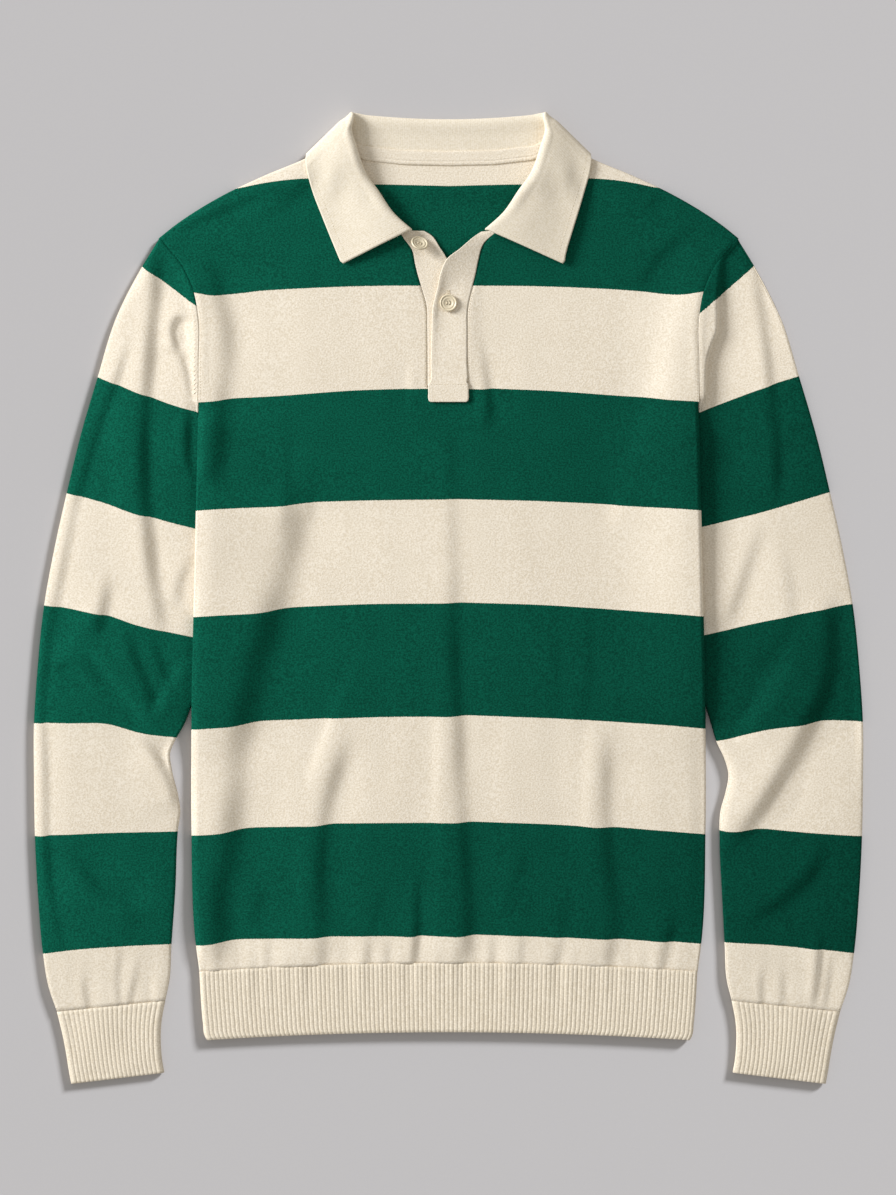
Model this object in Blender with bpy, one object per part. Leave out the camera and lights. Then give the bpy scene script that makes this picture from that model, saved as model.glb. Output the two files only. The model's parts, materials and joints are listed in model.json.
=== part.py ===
"""A long-sleeved rugby shirt laid flat, face up: striped body and sleeves, rib hem and cuffs,
and a soft knitted collar spread open over a two-button placket.

Frame: +X to the viewer's right, +Y towards the collar, +Z up from the surface that it lies on.
The tables are in millimetres; the scene is in metres.
"""

import bpy
import numpy as np

MM = 0.001

# ---- driving dimensions, mm ----
BODY_WALL = 1.6        # fine-gauge body knit
RIB_WALL = 1.8         # rib of hem and cuffs
COLLAR_WALL = 1.8      # collar knit
PLACKET_WALL = 1.6
TAPE_WALL = 1.0
SEAM = 0.3             # between two pieces that are sewn together
RESTING = 0.4          # between a piece and the folded cloth that it lies on
FALL_RESTING = 0.7     # the same for the collar's fall, which bridges the panel's slopes
BODY_GAP = 2.4         # between front and back, as they lie on each other
SLEEVE_GAP = 1.2       # between a sleeve's two layers
BODY_HEIGHT = 2 * BODY_WALL + BODY_GAP
SLEEVE_HEIGHT = 2 * BODY_WALL + SLEEVE_GAP
TUCK = 9.0             # how far a sleeve lies beneath the body's side
TUCK_LIFT = SLEEVE_HEIGHT + RESTING
COLLAR_LIFT = COLLAR_WALL + 1.5 * RESTING
UNDERARM_Y = 158.0
HEM_TOP_HALF_WIDTH = 204.6
HEM_TOP_Y = -300.0
HEM_BOTTOM_Y = -356.5
HEM_BOW = 7.0          # how much lower the hem lies at its sides than in the middle

# Half of the body's outline, from the hem up to the underarm.
SIDE = {"y": [-306, -284, -190, -84, -15, 70, UNDERARM_Y], "half_width": [204.6, 207.5, 211, 210.5, 209, 207, 205]}
# The armhole seam, from the underarm up to the shoulder point.
ARMHOLE = {"y": [UNDERARM_Y, 192, 230, 256.5, 277, 294.8], "x": [205, 204.9, 205, 210.8, 221.7, 237.5]}
# The shoulder, from its point to where it meets the neck.
SHOULDER = {"x": [90.6, 118, 150, 185, 206, 224, 237.5], "y": [373.6, 359.6, 346.5, 330, 317.8, 305.6, 294.8]}
# The back neck seam.
BACK_NECK = {"x": [0, 37.3, 68.9, 84, 90.6], "y": [355.5, 356.3, 359.9, 366.5, 374.3]}

# The sleeve's outer fold, from the shoulder point down to the cuff.
SLEEVE_OUTER = {"y": [-339.6, -319, -293, -245, -196.4, -148, -104, -60, -7, 40, 85, 130.8, 180, 234, 271, 294.8],
                "x": [321.6, 328.5, 332.8, 337, 339.5, 340.3, 340.3, 337.5, 332, 323.5, 313.5, 302.5, 288.2, 271,
                      252, 237.5]}
# Stations down a sleeve, from the armhole to the cuff, and how much of the armhole's curve
# each still follows. Between the underarm and y = -92 the inner fold lies beneath the body.
SLEEVE_ROWS = {
    "outer_y": [294.8, 268, 236, 196, 145, 90, 30, -25, -64, -92, -117, -142, -168, -205, -250, -293, -339.6],
    "inner_y": [UNDERARM_Y, 142, 122, 92, 56, 12, -40, -76, -94, -107, -122, -138, -158, -185, -235, -285, -330.6],
    "armhole": [1, 0.7, 0.4, 0.16, 0.04, 0, 0, 0, 0, 0, 0, 0, 0, 0, 0, 0, 0],
}
# The free inner fold of each sleeve, below where it leaves the body.
INNER_LEFT = {"y": [-330.6, -315, -285, -241, -190, -174, -163, -141, -127, -117, -104, -84],
              "x": [232.5, 229.2, 227.4, 224.3, 222.0, 220.2, 221.8, 227.1, 228.4, 224.3, 216.9, 209.5]}
INNER_RIGHT = {"y": [-330.6, -315, -285, -241, -200, -174, -160, -145, -131, -118, -104, -84],
               "x": [232.5, 228.6, 226.7, 224.4, 222.6, 223.5, 227.4, 229.7, 226.0, 219.8, 215.5, 209.5]}

# Soft troughs and ridges of the front: a line from (x0, y0) to (x1, y1), its width and its depth.
FRONT_FOLDS = {
    "x0": [-163, -85, 5, 124, -190, 190],
    "y0": [31, -100, 60, -90, 252, 252],
    "x1": [-195, -112, 10, 128, -196, 196],
    "y1": [-240, -280, -280, -285, 175, 175],
    "width": [26, 22, 16, 22, 9, 9],
    "depth": [-1.0, -0.9, -0.8, -0.9, -0.7, -0.7],
}
SLEEVE_FOLDS = {
    "x0": [252, 242, 286, 300, 272],
    "y0": [190, 240, -60, -180, -290],
    "x1": [256, 248, 250, 255, 276],
    "y1": [-35, 165, -140, -250, -335],
    "width": [12, 10, 13, 12, 8],
    "depth": [-0.9, -0.6, 1.1, 0.9, 0.8],
}

# Stations of the collar from its front end to the back: where its neck seam, its fold and its
# free edge run, how high the stand starts above the panel's middle, and the fold's radius.
COLLAR = {
    "seam_x": [34, 41, 52, 66, 76, 85, 89.5], "seam_y": [302.2, 303.4, 308, 318.5, 328, 343, 360],
    "fold_x": [29.5, 34, 44.3, 57.5, 67, 75.5, 79.3], "fold_y": [301.0, 304.8, 314.5, 333.5, 347, 370, 386],
    "edge_x": [87.3, 89, 92, 97.5, 104, 111, 115.3], "edge_y": [273.5, 277.5, 284.8, 298.2, 314.5, 333, 348.5],
    "stand_up": [2.2, 1.2, 0.2, 0, 0, 0, 0], "radius": [1.6, 1.8, 2.1, 2.5, 2.8, 3, 3],
}
RIGHT_EDGE_OUT = 7.5   # the right collar point lies this much further out
RIGHT_EDGE_SECTIONS = 5   # and the sections after it less and less, up to this one
NECK_CORNER = (90.6, 373.6)
EDGE_CORNER = (118.2, 362.6)
BACK_FOLD_Y = 392.5
BACK_FALL = {"x": [0, 40, 80, 108, 118, 185], "y": [343, 344.5, 350.5, 357, 352, 305]}
SHOULDER_TURNS = (0, 30, 60, 90, 120, 150, 180)
COLLAR_BACK_X = (70, 52, 27, 0)

# The placket strips: the sewn edge and the free edge, station by station from the top down, and
# how much the free edge stands up from the strip.
UNDER_PLACKET = {
    "seam_x": [-41.3, -36, -29.9, -27.5, -24.8, -22.3, -17.9, -17.3, -17],
    "seam_y": [301.2, 293.4, 285, 273.8, 263.1, 255, 239.4, 220, 173.6],
    "free_x": [-20, -13.5, -7.2, -1.0, 3, 5.5, 8, 8.5, 8.5],
    "free_y": [300.6, 296.4, 287, 277, 265, 255.5, 239.4, 220, 173.6],
    "free_up": [-1.2, -1.0, -0.6, 0, 0, 0, 0, 0, 0],
}
TOP_PLACKET = {
    "seam_x": [41.3, 31.5, 26.7, 24.2, 21.7, 19.4, 15.3, 15.0, 15.1],
    "seam_y": [301.2, 293.6, 286.6, 277, 264.5, 255, 236.2, 220, 177.0],
    "free_x": [27, 20.9, 9.1, -1.0, -6.6, -8.6, -12.9, -13.5, -14.6],
    "free_y": [299.6, 295.5, 285.1, 277, 264.5, 255, 236.2, 220, 177.0],
    "free_up": [-0.4, 1.2, 2.6, 3.2, 2.8, 2.4, 2.2, 2.2, 2.2],
}
NOTCH_BOTTOM_Y = 172.0
FOOT = {"y": [174.0, 172.9, 160.3], "half_width": [14.8, 16.2, 16.2]}
# Middle and tilt of each button: the top one hangs open on its thread.
BUTTONS = {"button_lower": (-0.1, 241.2, 0.0), "button_top": (-24.0, 289.2, -24.0)}

CREAM = (0.80, 0.71, 0.57)
RIB_CREAM = (0.76, 0.66, 0.52)
GREEN = (0.005, 0.085, 0.052)
HORN = (0.78, 0.69, 0.55)


def smooth_step(value, low, high):
    """0 below low, 1 above high, and a smooth cubic between."""
    t = np.clip((np.asarray(value, float) - low) / (high - low), 0, 1)
    return t * t * (3 - 2 * t)


def ramp(value, low, high):
    """0 below low, 1 above high, and straight between."""
    return np.clip((np.asarray(value, float) - low) / (high - low), 0, 1)


def along(table, column, by, at):
    """A table's column read at a place between its rows, by straight lines."""
    return np.interp(at, table[by], table[column])


# ---- where the cloth lies ----

EDGE_BAND = (25.0, 12.0)          # from the side, where the body rises over a tucked sleeve
LIFT_ENDS_BELOW = (-118.0, -96.0)
LIFT_ENDS_ABOVE = (144.0, 157.0)


def side_half_width(y):
    return along(SIDE, "half_width", "y", y)


def back_under(x, y):
    """Height of the back's underside: 0 where it rests, raised over the tucked sleeves' edges
    and over the collar's fall, which lies beneath the back at the neck."""
    x = np.abs(x)
    inside = side_half_width(np.minimum(y, UNDERARM_Y)) - x
    over_sleeve = (ramp(-inside, -EDGE_BAND[0], -EDGE_BAND[1]) * ramp(y, *LIFT_ENDS_BELOW)
                   * (1 - ramp(y, *LIFT_ENDS_ABOVE)))
    fall_edge = along(BACK_FALL, "y", "x", x)
    over_fall = ramp(y, fall_edge - 22, fall_edge - 6) * (1 - ramp(x, 118, 185))
    return TUCK_LIFT * over_sleeve + COLLAR_LIFT * over_fall


def folds(table, x, y):
    """Each fold is a bell across its line, fading out at both of the line's ends."""
    height = np.zeros(np.broadcast(x, y).shape)
    for x0, y0, x1, y1, width, depth in zip(*(table[name] for name in
                                              ("x0", "y0", "x1", "y1", "width", "depth"))):
        length = np.hypot(x1 - x0, y1 - y0)
        run = ((x - x0) * (x1 - x0) + (y - y0) * (y1 - y0)) / length
        across = ((x - x0) * (y1 - y0) - (y - y0) * (x1 - x0)) / length
        ends = smooth_step(run, -width, width) * smooth_step(length - run, -width, width)
        height += depth * np.exp(-((across / width) ** 2)) * ends
    return height


def front_middle(x, y):
    """Height of the middle of the front's wall."""
    inside = side_half_width(np.minimum(y, UNDERARM_Y)) - np.abs(x)
    return back_under(x, y) + BODY_HEIGHT - BODY_WALL / 2 + folds(FRONT_FOLDS, x, y) * ramp(inside, 3, 12)


def front_top(x, y):
    return front_middle(x, y) + BODY_WALL / 2


# ---- walls from grids of points ----

def unit(vectors):
    return vectors / np.maximum(np.linalg.norm(vectors, axis=-1, keepdims=True), 1e-12)


def cell_list(shape, closed, missing):
    """Corner indices of each cell of a grid, leaving out the missing ones."""
    rows, columns = shape
    cells = []
    for row in range(rows - 1):
        for column in range(columns if closed else columns - 1):
            if not missing(row, column):
                after = (column + 1) % columns
                cells.append((row * columns + column, row * columns + after,
                              (row + 1) * columns + after, (row + 1) * columns + column))
    return cells


def wall(name, middle, thickness, material, closed=False, missing=lambda row, column: False):
    """A closed wall of this thickness about a grid of middle points, rows by columns by xyz in
    mm. Each point moves half the thickness both ways along the mean normal of its cells, and
    every cell side with no neighbour is closed with a face across the wall."""
    points = np.asarray(middle, float)
    cells = cell_list(points.shape[:2], closed, missing)
    flat = points.reshape(-1, 3)
    corners = flat[np.array(cells)]
    facing = np.cross(corners[:, 2] - corners[:, 0], corners[:, 3] - corners[:, 1])
    normals = np.zeros_like(flat)
    for corner in range(4):
        np.add.at(normals, np.array(cells)[:, corner], unit(facing))
    normals = unit(normals)
    outer, inner = flat + normals * thickness / 2, flat - normals * thickness / 2
    used = sorted({index for cell in cells for index in cell})
    place = {index: number for number, index in enumerate(used)}
    count = len(used)
    faces = [tuple(place[index] for index in cell) for cell in cells]
    sides = {}
    for cell in faces:
        for start, end in zip(cell, cell[1:] + cell[:1]):
            sides[(start, end)] = True
    borders = [side for side in sides if (side[1], side[0]) not in sides]
    faces += [tuple(index + count for index in reversed(cell)) for cell in faces]
    faces += [(end, start, start + count, end + count) for start, end in borders]
    return make_object(name, np.vstack([outer[used], inner[used]]), faces, material)


def make_object(name, points, faces, material):
    """A mesh object from points in mm, with its faces turned outwards and shaded smooth."""
    mesh = bpy.data.meshes.new(name)
    mesh.from_pydata((np.asarray(points) * MM).tolist(), [], faces)
    mesh.validate()
    mesh.shade_smooth()
    mesh.set_sharp_from_angle(angle=np.radians(50))
    mesh.materials.append(material)
    made = bpy.data.objects.new(name, mesh)
    bpy.context.scene.collection.objects.link(made)
    return made


def cloth(name, colour, roughness=0.9):
    material = bpy.data.materials.new(name)
    material.use_nodes = True
    shader = material.node_tree.nodes["Principled BSDF"]
    shader.inputs["Base Color"].default_value = (*colour, 1)
    shader.inputs["Roughness"].default_value = roughness
    shader.inputs["Metallic"].default_value = 0
    material.diffuse_color = (*colour, 1)
    return material


# ---- body ----

CURL_RADIUS = (BODY_HEIGHT - BODY_WALL) / 2   # of the wall's middle, where front meets back
SEAM_CURL = {"inside": np.array([1.0, 0, 0]) * CURL_RADIUS,
             "drop": np.array([0, 0.5, 1.0]) * CURL_RADIUS - np.array([0, 0, SEAM])}
UNDERARM_CURL = {"inside": SEAM_CURL["inside"], "drop": np.array([0, 0.4, 0.8]) * CURL_RADIUS}
FLAT_EDGE = {"inside": np.array([1.0, 0.35, 0]) * CURL_RADIUS, "drop": np.zeros(3)}
BACK_SHARES = (0, 0.181, 0.337, 0.411, 0.4435, 0.5775, 0.734, 0.9055)
FRONT_SHARES = (0, 0.115, 0.2292, 0.363, 0.497, 0.64, 0.79)
BACK_LOWER_Y = (-284, -190, -118, -96, -15, 70, 144, 157.5)
BACK_UPPER = {"outer_y": [192, 230, 256.5, 277, 289], "share": [0.2, 0.45, 0.6, 0.72, 0.83]}
FRONT_LOWER_Y = (-284, -240, -190, -155, -118, -96, -50, 0, 45, 90, 144, 157.5)
FRONT_UPPER_Y = (164, 177, 192, 204, 217, 230, 239, 248, 256.5, 264, 271, 277, 283.5, 289)


def hem_top_y(x):
    return HEM_TOP_Y - HEM_BOW * (x / HEM_TOP_HALF_WIDTH) ** 2


def path_offset(points, distance):
    """A path moved sideways to its right by a distance."""
    heading = unit(np.gradient(points, axis=0))
    return points + distance * np.stack([heading[:, 1], -heading[:, 0]], axis=1)


def panel_row(inner, outer, shares, edge):
    """Points in plan from an inner to an outer point: shares of the way to the edge band, then
    the band's own distances from the edge. Also how far each point drops towards the seam."""
    inner, outer = np.asarray(inner, float), np.asarray(outer, float)
    length = np.hypot(*(outer - inner))
    reach = length - EDGE_BAND[0] - 8
    inside = np.concatenate([length - np.array(shares) * reach, EDGE_BAND, edge["inside"]])
    drop = np.concatenate([np.zeros(len(shares) + len(EDGE_BAND)), edge["drop"]])
    return outer + (inner - outer) * (inside / length)[:, None], drop


def lower_edge(y):
    """The body's side in plan: the middle of its wall lies half a wall inside the outline."""
    return side_half_width(y) - BODY_WALL / 2


ARMHOLE_SLOPE = (ARMHOLE["x"][-1] - ARMHOLE["x"][-2]) / (ARMHOLE["y"][-1] - ARMHOLE["y"][-2])


def shoulder_rows(inner, outer, shares):
    """The last rows of a panel: along the shoulder they curl to its seam, and along the neck
    they end flat."""
    rows = []
    plan, _ = panel_row(inner, outer, shares, FLAT_EDGE)
    x = plan[:, 0]
    at_neck = x < NECK_CORNER[0] - 0.01
    for curled, flat, drop in zip(SEAM_CURL["inside"], FLAT_EDGE["inside"], SEAM_CURL["drop"]):
        below = np.where(at_neck, flat, curled + BODY_WALL / 2)
        along_armhole = below * ARMHOLE_SLOPE * ramp(x, SHOULDER["x"][-3], SHOULDER["x"][-1])
        rows.append((np.column_stack([x - along_armhole, back_top_y(x) - below]), np.where(at_neck, 0, drop)))
    return rows


def armhole_point(y):
    return np.array([along(ARMHOLE, "x", "y", y) - SEAM / 2, y])


def back_top_y(x):
    on_neck = np.interp(x, BACK_NECK["x"], BACK_NECK["y"])
    return np.where(x < NECK_CORNER[0], on_neck, np.interp(x, SHOULDER["x"], SHOULDER["y"]))


def back_half():
    """Rows of the back's right half, each from the middle out: xyz of the wall's middle."""
    rows = lower_rows(0.0, BACK_LOWER_Y, BACK_SHARES)
    shoulder_point = armhole_point(ARMHOLE["y"][-1])
    top, _ = panel_row((0, 0), (shoulder_point[0], 0), BACK_SHARES, FLAT_EDGE)
    reach = back_top_y(top[:, 0]) - shoulder_point[1]
    for outer_y, share in zip(BACK_UPPER["outer_y"], BACK_UPPER["share"]):
        plan, drop = panel_row((0, outer_y), armhole_point(outer_y), BACK_SHARES, FLAT_EDGE)
        plan[:, 1] += share * reach
        rows.append((plan, drop))
    rows += shoulder_rows((0, 0), (shoulder_point[0], 0), BACK_SHARES)
    return [with_height(plan, back_under(*plan.T) + BODY_WALL / 2 + drop) for plan, drop in rows]


def lower_rows(inner_x, heights, shares):
    """Rows from the hem seam up to the underarm, whose outer ends curl to the side seam."""
    curls = [SEAM_CURL] * len(heights) + [UNDERARM_CURL]
    rows = [panel_row((inner_x, y), (lower_edge(y), y), shares, curl)
            for y, curl in zip((HEM_TOP_Y, *heights), curls)]
    rows[0][0][:, 1] = hem_top_y(rows[0][0][:, 0]) + SEAM / 2
    return rows


def with_height(plan, height):
    return np.column_stack([plan, height])


def mirrored(points):
    return points * np.array([-1, 1, 1])


def body_back(material):
    half = np.array(back_half())
    grid = np.concatenate([mirrored(half)[:, :0:-1], half], axis=1)
    wall("body_back", grid, BODY_WALL, material)


def front_inner(placket):
    """The front's inner edge on one side, from the notch's foot up the placket and the neck."""
    sewn = np.column_stack([np.abs(placket["seam_x"]), placket["seam_y"]])[::-1]
    sewn[0, 1] = NOTCH_BOTTOM_Y
    neck = np.column_stack([COLLAR["seam_x"], COLLAR["seam_y"]])[2:]
    neck = path_offset(neck, SEAM)
    return np.vstack([sewn + np.array([SEAM, 0]), neck])


def front_half(placket):
    """Rows of one half of the front, each from the placket or the neck out to the edge."""
    rows = lower_rows(abs(placket["seam_x"][-1]) + SEAM, FRONT_LOWER_Y, FRONT_SHARES)
    for inner, outer_y in zip(front_inner(placket), FRONT_UPPER_Y):
        rows.append(panel_row(inner, armhole_point(outer_y), FRONT_SHARES, FLAT_EDGE))
    return rows + shoulder_rows(NECK_CORNER, armhole_point(ARMHOLE["y"][-1]), FRONT_SHARES)


def body_front(material):
    """Both halves, joined below the notch by the cells between their inner edges."""
    halves = []
    for side, placket in ((-1, UNDER_PLACKET), (1, TOP_PLACKET)):
        rows = []
        for plan, drop in front_half(placket):
            plan = plan * np.array([side, 1])
            rows.append(with_height(plan, front_middle(*plan.T) - drop))
        halves.append(np.array(rows))
    grid = np.concatenate([halves[0][:, ::-1], halves[1]], axis=1)
    first_open_row = len(FRONT_LOWER_Y) + 1
    middle_column = halves[0].shape[1] - 1
    wall("body_front", grid, BODY_WALL, material,
         missing=lambda row, column: row >= first_open_row and column == middle_column)


# ---- tubes: sleeves, cuffs and hem ----

TUBE_SHARES = (0.2485, 0.5263, 0.72, 0.87)
SLEEVE_ASIDE = 0.6     # the sleeve's room beside the body's side seam and the shoulder seam


def ring(inner, outer, height, under, thickness, bend=0.0, raise_top=None):
    """One section of a flattened tube, in plan from its inner to its outer fold: its upper layer
    out, round the fold, and its lower layer back. bend moves the middle columns in plan."""
    inner, outer = np.asarray(inner, float), np.asarray(outer, float)
    length = np.hypot(*(outer - inner))
    radius = (height - thickness) / 2
    fold, drop = np.array([0, 1.0]) * radius, np.array([0.5, 0]) * radius
    inset = thickness / 2
    away = np.concatenate([inset + fold, np.array(TUBE_SHARES) * length, length - inset - fold[::-1]])
    drop = np.concatenate([drop, np.zeros(len(TUBE_SHARES)), drop[::-1]])
    plan = inner + (outer - inner) * (away / length)[:, None] + np.asarray(bend)
    top = under + height - thickness / 2 - drop
    if raise_top is not None:
        top = top + raise_top(*plan.T) * (drop == 0)
    upper = with_height(plan, top)
    lower = with_height(plan, under + thickness / 2 + drop)[::-1]
    return np.vstack([upper, lower])


def sleeve_inner_x(y, free):
    """The inner fold: beside the body, then tucked beneath it, then free down to the cuff."""
    tucked = TUCK * smooth_step(UNDERARM_Y - y, 14, 36) * smooth_step(y, -92, -62)
    beside = side_half_width(min(y, UNDERARM_Y)) + RESTING - tucked
    return beside if y > free["y"][-1] - 8 else float(np.interp(y, free["y"], free["x"]))


def sleeve(name, side, free, material):
    """The first ring follows the armhole, and each later one is straighter across."""
    rings = []
    columns = 2 * 2 + len(TUBE_SHARES)
    for outer_y, inner_y, hold in zip(*(SLEEVE_ROWS[key] for key in ("outer_y", "inner_y", "armhole"))):
        outer = np.array([along(SLEEVE_OUTER, "x", "y", outer_y), outer_y])
        inner = np.array([sleeve_inner_x(inner_y, free), inner_y])
        if inner_y > LIFT_ENDS_ABOVE[0] - 4:
            inner[0] += SLEEVE_ASIDE
        height = SLEEVE_HEIGHT + (BODY_HEIGHT - SLEEVE_HEIGHT) * hold ** 3
        bend = np.zeros((columns, 2))
        if hold:
            straight = ring(inner, outer, height, 0, BODY_WALL)[:columns, :2]
            y = ARMHOLE["y"][0] + (ARMHOLE["y"][-1] - ARMHOLE["y"][0]) * (
                (straight[:, 1] - inner[1]) / (outer[1] - inner[1]))
            chord_x = ARMHOLE["x"][0] + (ARMHOLE["x"][-1] - ARMHOLE["x"][0]) * (
                (y - ARMHOLE["y"][0]) / (ARMHOLE["y"][-1] - ARMHOLE["y"][0]))
            bend[:, 0] = hold * (along(ARMHOLE, "x", "y", y) - chord_x)
            if hold == 1:
                bend[:, 0] += SEAM / 2
                bend[-2:, 0] += SLEEVE_ASIDE / 2
        rings.append(ring(inner, outer, height, 0.0, BODY_WALL, bend,
                          None if hold == 1 else lambda x, y: folds(SLEEVE_FOLDS, x, y)))
    grid = np.array(rings)
    if side < 0:
        grid = mirrored(grid)[:, ::-1]
    wall(name, grid, BODY_WALL, material, closed=True)


CUFF = {
    "inner_x": [232.6, 236.2, 236.0, 233.4], "inner_y": [-330.9, -349, -370, -389.8],
    "outer_x": [321.4, 316.0, 312.6, 309.6], "outer_y": [-339.9, -362, -381, -398.9],
}
HEM = {"y": [0, -0.38, -0.76, -0.95, -1.0], "half_width": [204.4, 203.2, 201.4, 199.6, 197.0]}


def cuff(name, side, material):
    rings = []
    for x0, y0, x1, y1 in zip(*(CUFF[key] for key in ("inner_x", "inner_y", "outer_x", "outer_y"))):
        shift = SEAM if y0 == CUFF["inner_y"][0] else 0
        rings.append(ring((x0, y0 - shift), (x1, y1 - shift), SLEEVE_HEIGHT + 0.2, 0.0, RIB_WALL))
    grid = np.array(rings)
    if side < 0:
        grid = mirrored(grid)[:, ::-1]
    wall(name, grid, RIB_WALL, material, closed=True)


def hem_rib(material):
    """A flattened tube whose upper and lower edges bow down towards the sides."""
    rings = []
    depth = HEM_TOP_Y - HEM_BOTTOM_Y
    for share, half in zip(HEM["y"], HEM["half_width"]):
        section = ring((-half, 0), (half, 0), BODY_HEIGHT, 0.0, RIB_WALL)
        section[:, 1] = hem_top_y(section[:, 0]) - SEAM / 2 + share * depth
        rings.append(section)
    wall("hem_rib", np.array(rings), RIB_WALL, material, closed=True)


# ---- collar ----

STAND_SHARES = np.array([0.0, 0.3, 0.65])
ROLL_ANGLES = np.radians([-90, -40, 0, 40, 90])
FALL_SHARES = np.array([0.14, 0.32, 0.55, 0.78, 1.0])
SHOULDER_MIDDLE = (COLLAR_LIFT + BODY_HEIGHT + RESTING + COLLAR_WALL) / 2
FALL_TURN = SHOULDER_MIDDLE - COLLAR_WALL / 2
STAND_LEVEL = 6.9      # where the stand's fold begins, at the corner
STAND_TURN = 1.4       # radius of the stand's own turn over the shoulder
FOLD_TURN = 3.5        # the same for the fold, sideways
ROLL = 2.4             # radius of the fold
CORNER_ROLL = (78.5, 394.9)
CORNER_HEADING = np.array([-0.446, 0.895])
CORNER_OUT = np.array([0.895, 0.446])
EDGE_OUT = np.array([0.685, 0.729])


def collar_section(seam, stand_end, fall_start, heading, roll, edge, stand_power, fall_height):
    """One section, from the neck seam along the stand, round the fold and down the fall to the
    free edge. fall_height gives the fall's own height at each of its shares."""
    seam, stand_end, fall_start, edge = (np.asarray(p, float) for p in (seam, stand_end, fall_start, edge))
    stand = seam + (stand_end - seam) * STAND_SHARES[:, None]
    stand[:, 2] = seam[2] + (stand_end[2] - seam[2]) * STAND_SHARES ** stand_power
    centre, half = (stand_end + fall_start) / 2, (fall_start - stand_end) / 2
    heading = np.append(heading, 0.0)
    around = (centre + np.sin(ROLL_ANGLES)[:, None] * half
              + roll * np.cos(ROLL_ANGLES)[:, None] * heading)
    fall = fall_start + (edge - fall_start) * FALL_SHARES[:, None]
    fall[:, 2] = fall_height(fall[:, 0], fall[:, 1], FALL_SHARES)
    return np.vstack([stand, around, fall])


def resting_on_front(x, y):
    return front_top(x, y) + FALL_RESTING + COLLAR_WALL / 2


def collar_side(side):
    """Sections of one side of the collar, from its front end round the shoulder to the middle."""
    sections = []
    names = ("seam_x", "seam_y", "fold_x", "fold_y", "edge_x", "edge_y", "stand_up", "radius")
    count = len(COLLAR["seam_x"])
    for number, row in enumerate(zip(*(COLLAR[name] for name in names))):
        seam_x, seam_y, fold_x, fold_y, edge_x, edge_y, stand_up, radius = row
        edge_x += RIGHT_EDGE_OUT * (side > 0) * max(0, 1 - number / RIGHT_EDGE_SECTIONS)
        seam, fold, edge = (np.array(p) for p in ((seam_x, seam_y), (fold_x, fold_y), (edge_x, edge_y)))
        heading = unit(unit(fold - seam) + unit(fold - edge))
        centre = fold - (radius + COLLAR_WALL / 2) * heading
        start = front_middle(*seam) + stand_up
        low = start + STAND_TURN * number / count
        high = low + 2 * radius

        def height(x, y, share, high=high, centre=centre):
            spare = high - resting_on_front(*centre)
            return resting_on_front(x, y) + spare * (1 - share) ** 2.5

        sections.append(collar_section((*seam, start), (*centre, low), (*centre, high), heading, radius,
                                       (*edge, 0), 1.0, height))
    for turn in np.radians(SHOULDER_TURNS):
        sections.append(shoulder_section(np.cos(turn), np.sin(turn)))
    sections += [back_section(x) for x in COLLAR_BACK_X]
    grid = np.array(sections)
    return grid if side > 0 else mirrored(grid)


def shoulder_section(up, out):
    """A section where the collar turns over the shoulder: up goes from 1 in front, through 0 on
    the silhouette, to -1 behind, and out is how far it stands out there."""
    seam_middle = COLLAR_LIFT + BODY_HEIGHT / 2
    seam_out = CURL_RADIUS * (out - 1) - 2 * SEAM
    seam = (*(np.array(NECK_CORNER) + seam_out * CORNER_OUT), seam_middle + CURL_RADIUS * up)
    corner = np.array(CORNER_ROLL)
    stand_end = (*(corner + STAND_TURN * out * CORNER_OUT), STAND_LEVEL + STAND_TURN * up)
    rise = STAND_TURN + 2 * ROLL if up > 0 else STAND_LEVEL - COLLAR_WALL / 2
    fall_start = np.array([*(corner + FOLD_TURN * out * CORNER_OUT), STAND_LEVEL + rise * up])
    turn_out = FALL_TURN * (out - 1) - COLLAR_WALL / 2
    edge = np.array([*(np.array(EDGE_CORNER) + turn_out * EDGE_OUT), SHOULDER_MIDDLE + FALL_TURN * up])

    def height(x, y, share):
        flat = SHOULDER_MIDDLE + FALL_TURN * up
        return flat + (fall_start[2] - flat) * (1 - share) ** 2.5

    power = 1.5 - 0.5 * up
    return collar_section(seam, stand_end, fall_start, CORNER_HEADING, ROLL, edge, power, height)


def back_section(x):
    """A section behind the neck: the stand lies above, the fall beneath the back."""
    share = x / CORNER_ROLL[0]
    fold = np.array([x, BACK_FOLD_Y + (CORNER_ROLL[1] + ROLL - BACK_FOLD_Y) * share ** 2])
    seam = np.array([x * 0.98, np.interp(x * 0.98, BACK_NECK["x"], BACK_NECK["y"]) + SEAM])
    edge_x = share * 108
    edge = np.array([edge_x, np.interp(edge_x, BACK_FALL["x"], BACK_FALL["y"])])
    heading = unit(unit(fold - seam) + np.array([0, 1]))
    centre = fold - (ROLL + COLLAR_WALL / 2) * heading
    low, high = COLLAR_WALL / 2, STAND_LEVEL - STAND_TURN
    start = COLLAR_LIFT + BODY_WALL / 2
    return collar_section((*seam, start), (*centre, high), (*centre, low), heading, ROLL, (*edge, low), 2.0,
                          lambda x, y, share: np.full(len(share), low))


def collar(material):
    left, right = collar_side(-1), collar_side(1)
    wall("collar", np.concatenate([left, right[-2::-1]]), COLLAR_WALL, material)


# ---- neck tape, plackets and buttons ----

TAPE_BELOW = 1.0       # the tape's reach onto the back, and up the stand
TAPE_ABOVE = 10.0
TAPE_RIDGE = 0.25      # how much it is raised over the seam allowance
TAPE_X = (-66, -50, -34, -17, 0, 17, 34, 50, 66)


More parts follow.
